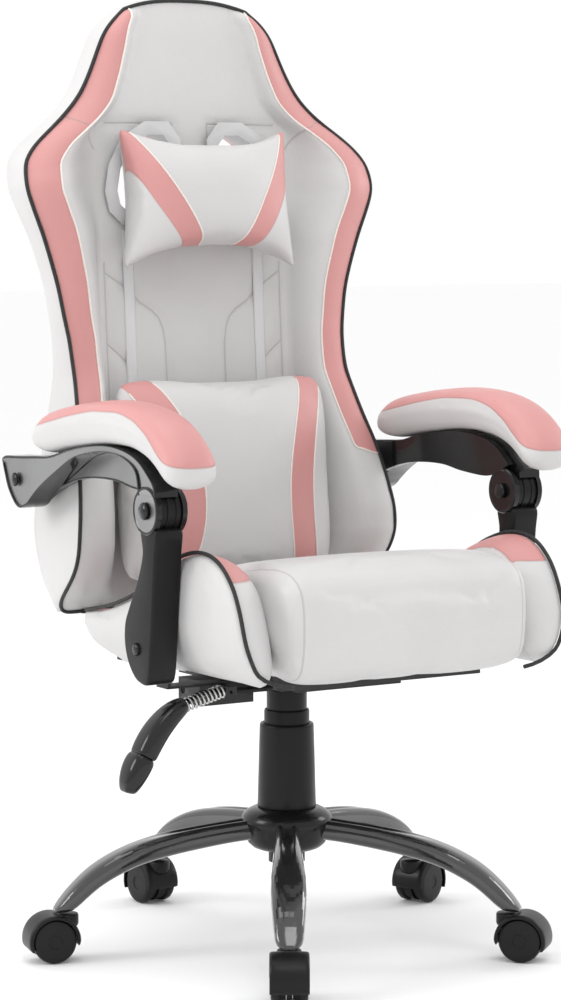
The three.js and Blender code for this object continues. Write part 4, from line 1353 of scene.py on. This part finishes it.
class CHAIR_OT_arms(bpy.types.Operator):
    """Makes the arm frames, knuckles and links, and finishes their bolts"""

    bl_idname = "chair.arms"
    bl_label = "Arm frames and links"

    def execute(self, context):
        shell = channel("arm_shell_left", ARCH_TOP, RIB_UNDER, 258.5, 291.5, 3.6, 2.2, 96)
        inner = channel("arm_web_left", WEB_TOP, WEB_UNDER, 247.4, 258.4, 2.4, 1.2, 72)
        for piece in (shell, inner):
            for material in (gloss_plastic(), arm_steel()):
                piece.data.materials.append(material)
            shaded(piece, 38)

        y, z = KNUCKLE
        cheek = [(284.4, 7.7), (284.4, 30), (290.6, 30), (291.9, 28.8), (292, 27.2), (291.2, 26),
                 (291.0, 25), (291.0, 7.7)]
        outer_cheek = across("arm_cheek_outer_left", [*cheek, cheek[0]], y, z, 64)
        painted(outer_cheek, gloss_plastic(), arm_steel())
        for f in outer_cheek.data.polygons:
            if f.normal.x > 0.98 and f.center.x > 0.29 and (f.center.yz - at(0, y, z).yz).length < 0.0255:
                f.material_index = 1
        inner_cheek = across(
            "arm_cheek_inner_left", [(254.6, 7.7), (254.6, 30), (248.6, 30), (247.3, 28.8), (247.2, 27.2),
                                     (248, 26), (248.2, 7.7), (254.6, 7.7)], y, z, 64
        )
        painted(inner_cheek, gloss_plastic())
        for cheek_piece in (outer_cheek, inner_cheek):
            shaded(cheek_piece, 30)

        bar = plate("arm_link_bar_left", [tuple(p) for p in resampled(LINK_SIDE, 90)], 250.4, 289.8)
        bevelled(bar, 0.0042, 4, 40)
        shaded(bar, 50)
        painted(bar, black_plastic())
        barrel = [(255, 7), (255, 26.4), (255.6, 27), (262, 27), (262.8, 25.8), (264.2, 25.8), (265, 27),
                  (274, 27), (274.8, 25.8), (276.2, 25.8), (277, 27), (283.4, 27), (284, 26.4), (284, 7)]
        drum = across("arm_link_barrel_left", [*barrel, barrel[0]], y, z, 64)
        shaded(drum, 30)
        painted(drum, black_plastic())

        for side, sign in SIDES:
            for source, body, node in (
                (shell, f"arm_{side}", f"arm_frame_{side}"),
                (inner, f"arm_{side}", None),
                (outer_cheek, f"arm_{side}", None),
                (inner_cheek, f"arm_{side}", None),
                (bar, f"link_{side}", f"arm_link_{side}"),
                (drum, f"link_{side}", None),
            ):
                piece = source if sign > 0 else mirrored(source, source.name.replace("left", "right"))
                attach(piece, body)
                if node:
                    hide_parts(node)
                "gloss_plastic" if "arm_" + side == body else "black_plastic"
            for bolt in ("knuckle_bolt", "rear_pivot_bolt", "link_bolt"):
                finish_node(f"{bolt}_{side}", gloss_plastic(), 0.0014, 3)
        return {"FINISHED"}


# ---------------------------------------------------------------- lever


class CHAIR_OT_lever(bpy.types.Operator):
    """Makes the recline lever: rod, coil spring and two-part paddle"""

    bl_idname = "chair.lever"
    bl_label = "Recline lever"

    def execute(self, context):
        y = -131
        rod_path = resampled(
            [(-104, 377), (-150, 377.3), (-196, 378.5), (-212, 376.5), (-240, 363), (-262, 346)],
            40,
            closed=False,
        )
        rod = tube("lever_steel_rod", [at(px, y, pz) for px, pz in rod_path], 0.0040, 12)
        painted(rod, black_plastic())
        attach(rod, "lever")
        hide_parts("lever_rod")

        start, end = Vector((-178, y, 379)), Vector((-236, y - 2, 365))
        along = end - start
        third = along.normalized().cross(Vector((0, 1, 0)))
        turns = 10
        coil = []
        for i in range(turns * 16 + 1):
            t = i / (turns * 16)
            a = 2 * math.pi * turns * t
            p = start + along * t + Vector((0, 1, 0)) * 8.0 * math.cos(a) + third * 8.0 * math.sin(a)
            coil.append(at(*p))
        spring = tube("lever_coil_spring", coil, sizes().coil / 2, 8)
        painted(spring, bright_steel())
        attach(spring, "lever")
        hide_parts("lever_spring")

        grip = [(-233, 368.5, 8, 8), (-240, 365.5, 12, 10.5), (-252, 359, 15.5, 12.5), (-270, 344, 18, 14),
                (-284, 326, 19, 14.5), (-293, 310, 18.5, 14), (-295.5, 305, 17.5, 12.5)]
        tip = [(-294, 309, 17.5, 12.5), (-298, 303, 19.5, 15), (-305, 292, 19.5, 15), (-312, 277, 17, 12.5),
               (-316, 267, 12.5, 9), (-317, 263.5, 9, 6)]
        for name, node, stations in (("lever_paddle", "lever_grip", grip),
                                     ("lever_paddle_tip", "lever_grip_tip", tip)):
            piece = paddle(name, stations, y - 3)
            painted(piece, gloss_plastic())
            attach(piece, "lever")
            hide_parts(node)
        return {"FINISHED"}


def paddle(name, stations, y):
    """A flattened grip through (x, z, half width, half thickness) stations, with crisp long edges."""
    count = 28
    angles = np.linspace(0, 2 * math.pi, count, endpoint=False)
    centres = np.array([(x, z) for x, z, _, _ in stations], float)
    runs = np.gradient(centres, axis=0)
    runs /= np.linalg.norm(runs, axis=1)[:, None]
    vertices = []
    for (x, z, half, thick), (rx, rz) in zip(stations, runs):
        for a in angles:
            u = half * math.copysign(abs(math.cos(a)) ** 0.55, math.cos(a))
            v = thick * math.copysign(abs(math.sin(a)) ** 0.75, math.sin(a))
            vertices.append(at(x - rz * v, y + u, z + rx * v))
    n = len(stations)
    faces = [
        (r * count + k, r * count + (k + 1) % count, (r + 1) * count + (k + 1) % count, (r + 1) * count + k)
        for r in range(n - 1)
        for k in range(count)
    ]
    faces += [range(count), range((n - 1) * count, n * count)]
    piece = skin(name, vertices, faces)
    outward(piece)
    return rounded(piece, 2)


# ---------------------------------------------------------------- lift, base and casters

LEG_TOP = Curve([(44, 182.5), (72, 180), (120, 175.5), (170, 168), (205, 159.5), (235, 148), (258, 136),
                 (278, 122), (292, 109), (304, 96), (314, 83), (317, 79)])
LEG_LOW = Curve([(44, 154), (72, 152), (120, 146), (170, 138), (205, 130), (235, 117.5), (258, 105),
                 (278, 89), (290, 78), (300, 74.5), (317, 74.5)])
LEG_WIDE = Curve([(44, 33), (72, 33), (120, 35), (170, 39), (205, 43), (235, 45), (258, 44), (278, 41),
                  (292, 38), (303, 35), (312, 27), (317, 14)])
BASE_TURN = -31.8
STEM_CIRCLE = 300
WHEEL_CIRCLE = 320
WHEEL_CENTRE = 0.040


def turned_to(k):
    """Carries a piece built with the leg along -Y of the lift's axis round to leg k."""
    place = Matrix.Translation((AXIS_X, AXIS_Y, -DROP * MM))
    return place @ Matrix.Rotation(math.radians(BASE_TURN + 72 * k), 4, "Z")


class CHAIR_OT_base(bpy.types.Operator):
    """Makes the five-leg star base and its hub"""

    bl_idname = "chair.base"
    bl_label = "Star base"

    def execute(self, context):
        stations = [44, 52, 62, 74, 88, 104, 122, 140, 156, 172, 190, 208, 224, 240, 254, 266, 278, 290,
                    300, 308, 314, 317]
        rings = []
        for r in stations:
            top, low, wide = float(LEG_TOP(r)), float(LEG_LOW(r)), float(LEG_WIDE(r))
            rings.append(((0, -r * MM, (top + low) / 2 * MM), (wide / 2 * MM, 1, (top - low) / 2 * MM)))
        leg = loft("star_leg_1", rings, 32, (math.pi / 2, 0, 0))
        only(leg)
        for r in stations[:11]:
            top, depth = float(LEG_TOP(r)), 6.5 * (1 - float(smooth(110, 200, r)))
            for v in leg.data.vertices:
                near = abs(v.co.y + r * MM) < 0.0005 and abs(v.co.x) < 0.0062 and v.co.z > (top - 4) * MM
                v.select = near
            for e in leg.data.edges:
                e.select = False
            for f in leg.data.polygons:
                f.select = False
            bpy.ops.object.mode_set(mode="EDIT")
            bpy.ops.mesh.select_mode(type="VERT")
            bpy.ops.transform.translate(value=(0, 0, -depth * MM))
            bpy.ops.object.mode_set(mode="OBJECT")
        # squarer flanks than a plain ellipse
        for v in leg.data.vertices:
            r = -v.co.y / MM
            mid = (float(LEG_TOP(r)) + float(LEG_LOW(r))) / 2 * MM
            half_h = (float(LEG_TOP(r)) - float(LEG_LOW(r))) / 2 * MM
            half_w = float(LEG_WIDE(r)) / 2 * MM
            u, w = v.co.x / half_w, (v.co.z - mid) / half_h
            grow = 1 + 0.13 * (4 * (u * w) ** 2)
            v.co.x *= grow
            v.co.z = mid + (v.co.z - mid) * grow
        rounded(leg, 1)
        painted(leg, base_steel())
        local = leg
        for k in range(5):
            piece = copied(local, f"star_leg_{k + 1}_tube", turned_to(k))
            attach(piece, "base")
            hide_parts(f"base_leg_{k + 1}")
        bpy.data.objects.remove(local)

        profile = [(24.6, 139.2), (38, 139.2), (45, 142), (51, 147.5), (54, 154), (56, 161), (59, 168),
                   (60.8, 174), (60.2, 180), (57.2, 185.5), (51.5, 190.5), (43, 194.6), (38, 195),
                   (24.6, 195)]
        hub = turned("star_hub", [*profile, profile[0]], 64, (AXIS_X, AXIS_Y))
        bevelled(hub, 0.0012, 3)
        shaded(hub, 50)
        painted(hub, moulded("hub_enamel", (0.007, 0.007, 0.0075), 0.20, 0.32, 0.06, 0.2))
        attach(hub, "base")
        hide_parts("base_hub")
        return {"FINISHED"}


def hood_shell():
    """The rounded cover over a caster's two wheels, swept about the wheels' axis in the leg's own place."""
    outline = [(-24.4, 29.4), (-24.6, 31.4), (-23.6, 33.0), (-21.4, 33.9), (-17, 34.2), (17, 34.2),
               (21.4, 33.9), (23.6, 33.0), (24.6, 31.4), (24.4, 29.4), (23.2, 29.2), (22.4, 30.4),
               (-22.4, 30.4), (-23.2, 29.2)]
    count = 56
    angles = np.radians(np.linspace(-10, 202, count))
    ends = np.clip(np.minimum(np.arange(count), np.arange(count)[::-1]) / 3, 0, 1)
    vertices = []
    for a, end in zip(angles, ends):
        for x, r in outline:
            r = 30.6 + (r - 30.6) * (0.45 + 0.55 * end ** 0.5)
            place = (x * MM, (r * math.cos(a) - WHEEL_CIRCLE) * MM, (40 + r * math.sin(a)) * MM)
            vertices.append(Vector(place))
    n = len(outline)
    faces = [
        (i * n + k, i * n + (k + 1) % n, (i + 1) * n + (k + 1) % n, (i + 1) * n + k)
        for i in range(count - 1)
        for k in range(n)
    ]
    faces += [range(n), range((count - 1) * n, count * n)]
    piece = skin("hood_cover", vertices, faces)
    facing_out(piece)
    return shaded(piece, 45)


class CHAIR_OT_casters(bpy.types.Operator):
    """Makes the twin-wheel casters and finishes their hoods"""

    bl_idname = "chair.casters"
    bl_label = "Casters"

    def execute(self, context):
        profile = [(4.6, 4.4), (24.8, 4.4), (25.2, 10.6), (26.6, 11.4), (28.0, 12.8), (28.5, 15),
                   (28.5, 18.4), (28.0, 20.6), (26.7, 22.2), (24.8, 23.0), (21, 23.2), (9, 23.2),
                   (8.4, 22.4), (4.6, 22.3)]
        rings = [((x * MM, -WHEEL_CIRCLE * MM, WHEEL_CENTRE), (1, r * MM, r * MM)) for r, x in profile]
        right = loft("caster_wheel", rings, 56, (0, math.pi / 2, 0))
        shaded(right, 28)
        painted(right, tyre_plastic())
        flip = Matrix.Diagonal((-1, 1, 1, 1))
        left = copied(right, "caster_wheel_twin", flip)
        shell = hood_shell()
        disc = ((-3.4, 26), (-3.4, 27), (3.4, 27), (3.4, 26))
        rings = [((x * MM, -WHEEL_CIRCLE * MM, WHEEL_CENTRE), (1, r * MM, r * MM)) for x, r in disc]
        web = loft("hood_web", rings, 48, (0, math.pi / 2, 0))
        shaded(web, 30)
        block = ((55, 12), (57, 14.6), (60, 15.6), (70, 15.6), (72.4, 14.6), (73, 13))
        rings = [((0, -STEM_CIRCLE * MM, z * MM), (r * MM, r * MM, 1)) for z, r in block]
        neck = loft("hood_neck", rings, 40)
        shaded(neck, 50)
        for piece in (shell, web, neck):
            painted(piece, black_plastic())
        for k in range(5):
            for side, source in (("left", right), ("right", left)):
                piece = copied(source, f"caster_{k + 1}_tyre_{side}", turned_to(k))
                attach(piece, f"caster_{k + 1}_{side}")
                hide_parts(f"caster_{k + 1}_wheel_{side}")
            for source, node in ((shell, f"caster_{k + 1}_hood"), (web, None), (neck, None)):
                piece = copied(source, f"caster_{k + 1}_{source.name}", turned_to(k))
                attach(piece, f"caster_{k + 1}")
                if node:
                    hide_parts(node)
        for source in (right, left, shell, web, neck):
            bpy.data.objects.remove(source)
        return {"FINISHED"}


class CHAIR_OT_lift(bpy.types.Operator):
    """Makes the three telescoping sleeves and finishes the column and piston"""

    bl_idname = "chair.lift"
    bl_label = "Gas lift"

    def execute(self, context):
        covers = {
            "sleeve_lower": ("base", [(31.4, 195.3), (38.6, 195.3), (38.2, 210), (35.7, 300), (35.5, 303.6),
                                      (34.5, 306), (31.5, 306), (30.4, 305.2), (30.4, 301.5), (31.4, 300)]),
            "sleeve_middle": ("middle_sleeve", [(27.6, 222), (29.8, 222), (29.8, 321.5), (29.2, 324),
                                                (28.2, 324.5), (27.2, 324.2), (27.0, 320), (27.6, 318)]),
            "sleeve_upper": ("lift", [(24.7, 232), (26.5, 232), (26.5, 350), (25.9, 351), (24.7, 351)]),
        }
        for node, (body, profile) in covers.items():
            piece = turned(node + "_cover", [*profile, profile[0]], 72, (AXIS_X, AXIS_Y))
            bevelled(piece, 0.0004, 2)
            shaded(piece, 30)
            painted(piece, black_plastic())
            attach(piece, body)
            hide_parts(node)
        finish_node("lift_column", frame_steel())
        finish_node("lift_piston", bright_steel())
        return {"FINISHED"}


class CHAIR_OT_seat_steel(bpy.types.Operator):
    """Finishes the seat frame, mechanism, lever bracket, hinge plates and recline shaft"""

    bl_idname = "chair.seat_steel"
    bl_label = "Seat steel"

    def execute(self, context):
        for name in ("seat_frame", "mechanism_housing", "lever_bracket", "back_hinge_plate_left",
                     "back_hinge_plate_right"):
            finish_node(name, frame_steel(), 0.0006)
        finish_node("recline_shaft", frame_steel())
        return {"FINISHED"}


# ---------------------------------------------------------------- stage


class CHAIR_OT_stage(bpy.types.Operator):
    """Lays the pale floor and sets the soft lights and the camera"""

    bl_idname = "chair.stage"
    bl_label = "Stage"

    def execute(self, context):
        scene = context.scene
        scene.view_settings.view_transform = "Standard"
        bpy.ops.object.select_all(action="DESELECT")
        bpy.ops.mesh.primitive_plane_add(size=60, location=(0, 0, -0.0003))
        floor = context.object
        floor.name = "floor"
        settle(floor)
        paint = Paint("floor_white", Roughness=0.9)
        cloud = paint.noise(0.8, 2.0)
        tint = paint.mix(cloud, (0.965, 0.965, 0.965), (0.98, 0.98, 0.98))
        painted(floor, paint.shine(tint, height=paint.noise(300.0), strength=0.02))

        world = bpy.data.worlds.new("soft_room")
        scene.world = world
        world.use_nodes = True
        background = world.node_tree.nodes["Background"]
        background.inputs["Color"].default_value = (1, 1, 1, 1)
        background.inputs["Strength"].default_value = 1.0

        for name, energy, size, place, aim in (
            ("overhead_box", 16, 1.8, (-0.4, 0.3, 3.2), (0, 0, 0.6)),
            ("left_box", 34, 1.3, (-2.9, 0.9, 1.9), (0, 0, 0.7)),
            ("right_box", 12, 0.9, (2.6, -0.4, 1.6), (0, 0, 0.8)),
            ("front_box", 15, 1.2, (-0.7, -1.9, 3.3), (0, 0.2, 0.9)),
        ):
            data = bpy.data.lights.new(name, "AREA")
            data.energy, data.size = energy, size
            lamp = bpy.data.objects.new(name, data)
            scene.collection.objects.link(lamp)
            lamp.location = place
            lamp.rotation_mode = "QUATERNION"
            lamp.rotation_quaternion = (Vector(aim) - Vector(place)).to_track_quat("-Z", "Y")

        data = bpy.data.cameras.new("camera")
        data.lens, data.sensor_width = 115.08, 36
        camera = bpy.data.objects.new("camera", data)
        scene.collection.objects.link(camera)
        turn, rise, reach = math.radians(-32.27), math.radians(5.195), 4.174
        back = Vector((math.sin(turn) * math.cos(rise), -math.cos(turn) * math.cos(rise), math.sin(rise)))
        camera.location = Vector((-0.00069, -0.01596, 0.5992 - DROP * MM)) + back * reach
        camera.rotation_mode = "QUATERNION"
        camera.rotation_quaternion = (-back).to_track_quat("-Z", "Y")
        scene.camera = camera
        return {"FINISHED"}


class CHAIR_PT_pieces(bpy.types.Panel):
    """Sizes, colours and the steps that build the chair"""

    bl_idname = "CHAIR_PT_pieces"
    bl_label = "Gaming chair"
    bl_space_type = "VIEW_3D"
    bl_region_type = "UI"
    bl_category = "Chair"

    def draw(self, context):
        layout = self.layout
        for group in (context.scene.chair_sizes, context.scene.chair_colours):
            box = layout.box()
            for name in group.bl_rna.properties.keys():
                if name not in ("rna_type", "name"):
                    box.prop(group, name)
        for step in STEPS:
            layout.operator(step.bl_idname)


STEPS = (
    CHAIR_OT_stage,
    CHAIR_OT_base,
    CHAIR_OT_casters,
    CHAIR_OT_lift,
    CHAIR_OT_seat_steel,
    CHAIR_OT_lever,
    CHAIR_OT_arms,
    CHAIR_OT_back,
    CHAIR_OT_harness,
    CHAIR_OT_head_pillow,
    CHAIR_OT_lumbar_pillow,
    CHAIR_OT_seat,
    CHAIR_OT_arm_pads,
)
CLASSES = (ChairSizes, ChairColours, *STEPS, CHAIR_PT_pieces)


def register():
    for cls in CLASSES:
        bpy.utils.register_class(cls)
    bpy.types.Scene.chair_sizes = bpy.props.PointerProperty(type=ChairSizes)
    bpy.types.Scene.chair_colours = bpy.props.PointerProperty(type=ChairColours)


def unregister():
    del bpy.types.Scene.chair_colours
    del bpy.types.Scene.chair_sizes
    for cls in reversed(CLASSES):
        bpy.utils.unregister_class(cls)


def main():
    register()
    for step in (
        bpy.ops.chair.stage,
        bpy.ops.chair.base,
        bpy.ops.chair.casters,
        bpy.ops.chair.lift,
        bpy.ops.chair.seat_steel,
        bpy.ops.chair.lever,
        bpy.ops.chair.arms,
        bpy.ops.chair.back,
        bpy.ops.chair.harness,
        bpy.ops.chair.head_pillow,
        bpy.ops.chair.lumbar_pillow,
        bpy.ops.chair.seat,
        bpy.ops.chair.arm_pads,
    ):
        step()


if __name__ == "__main__":
    main()
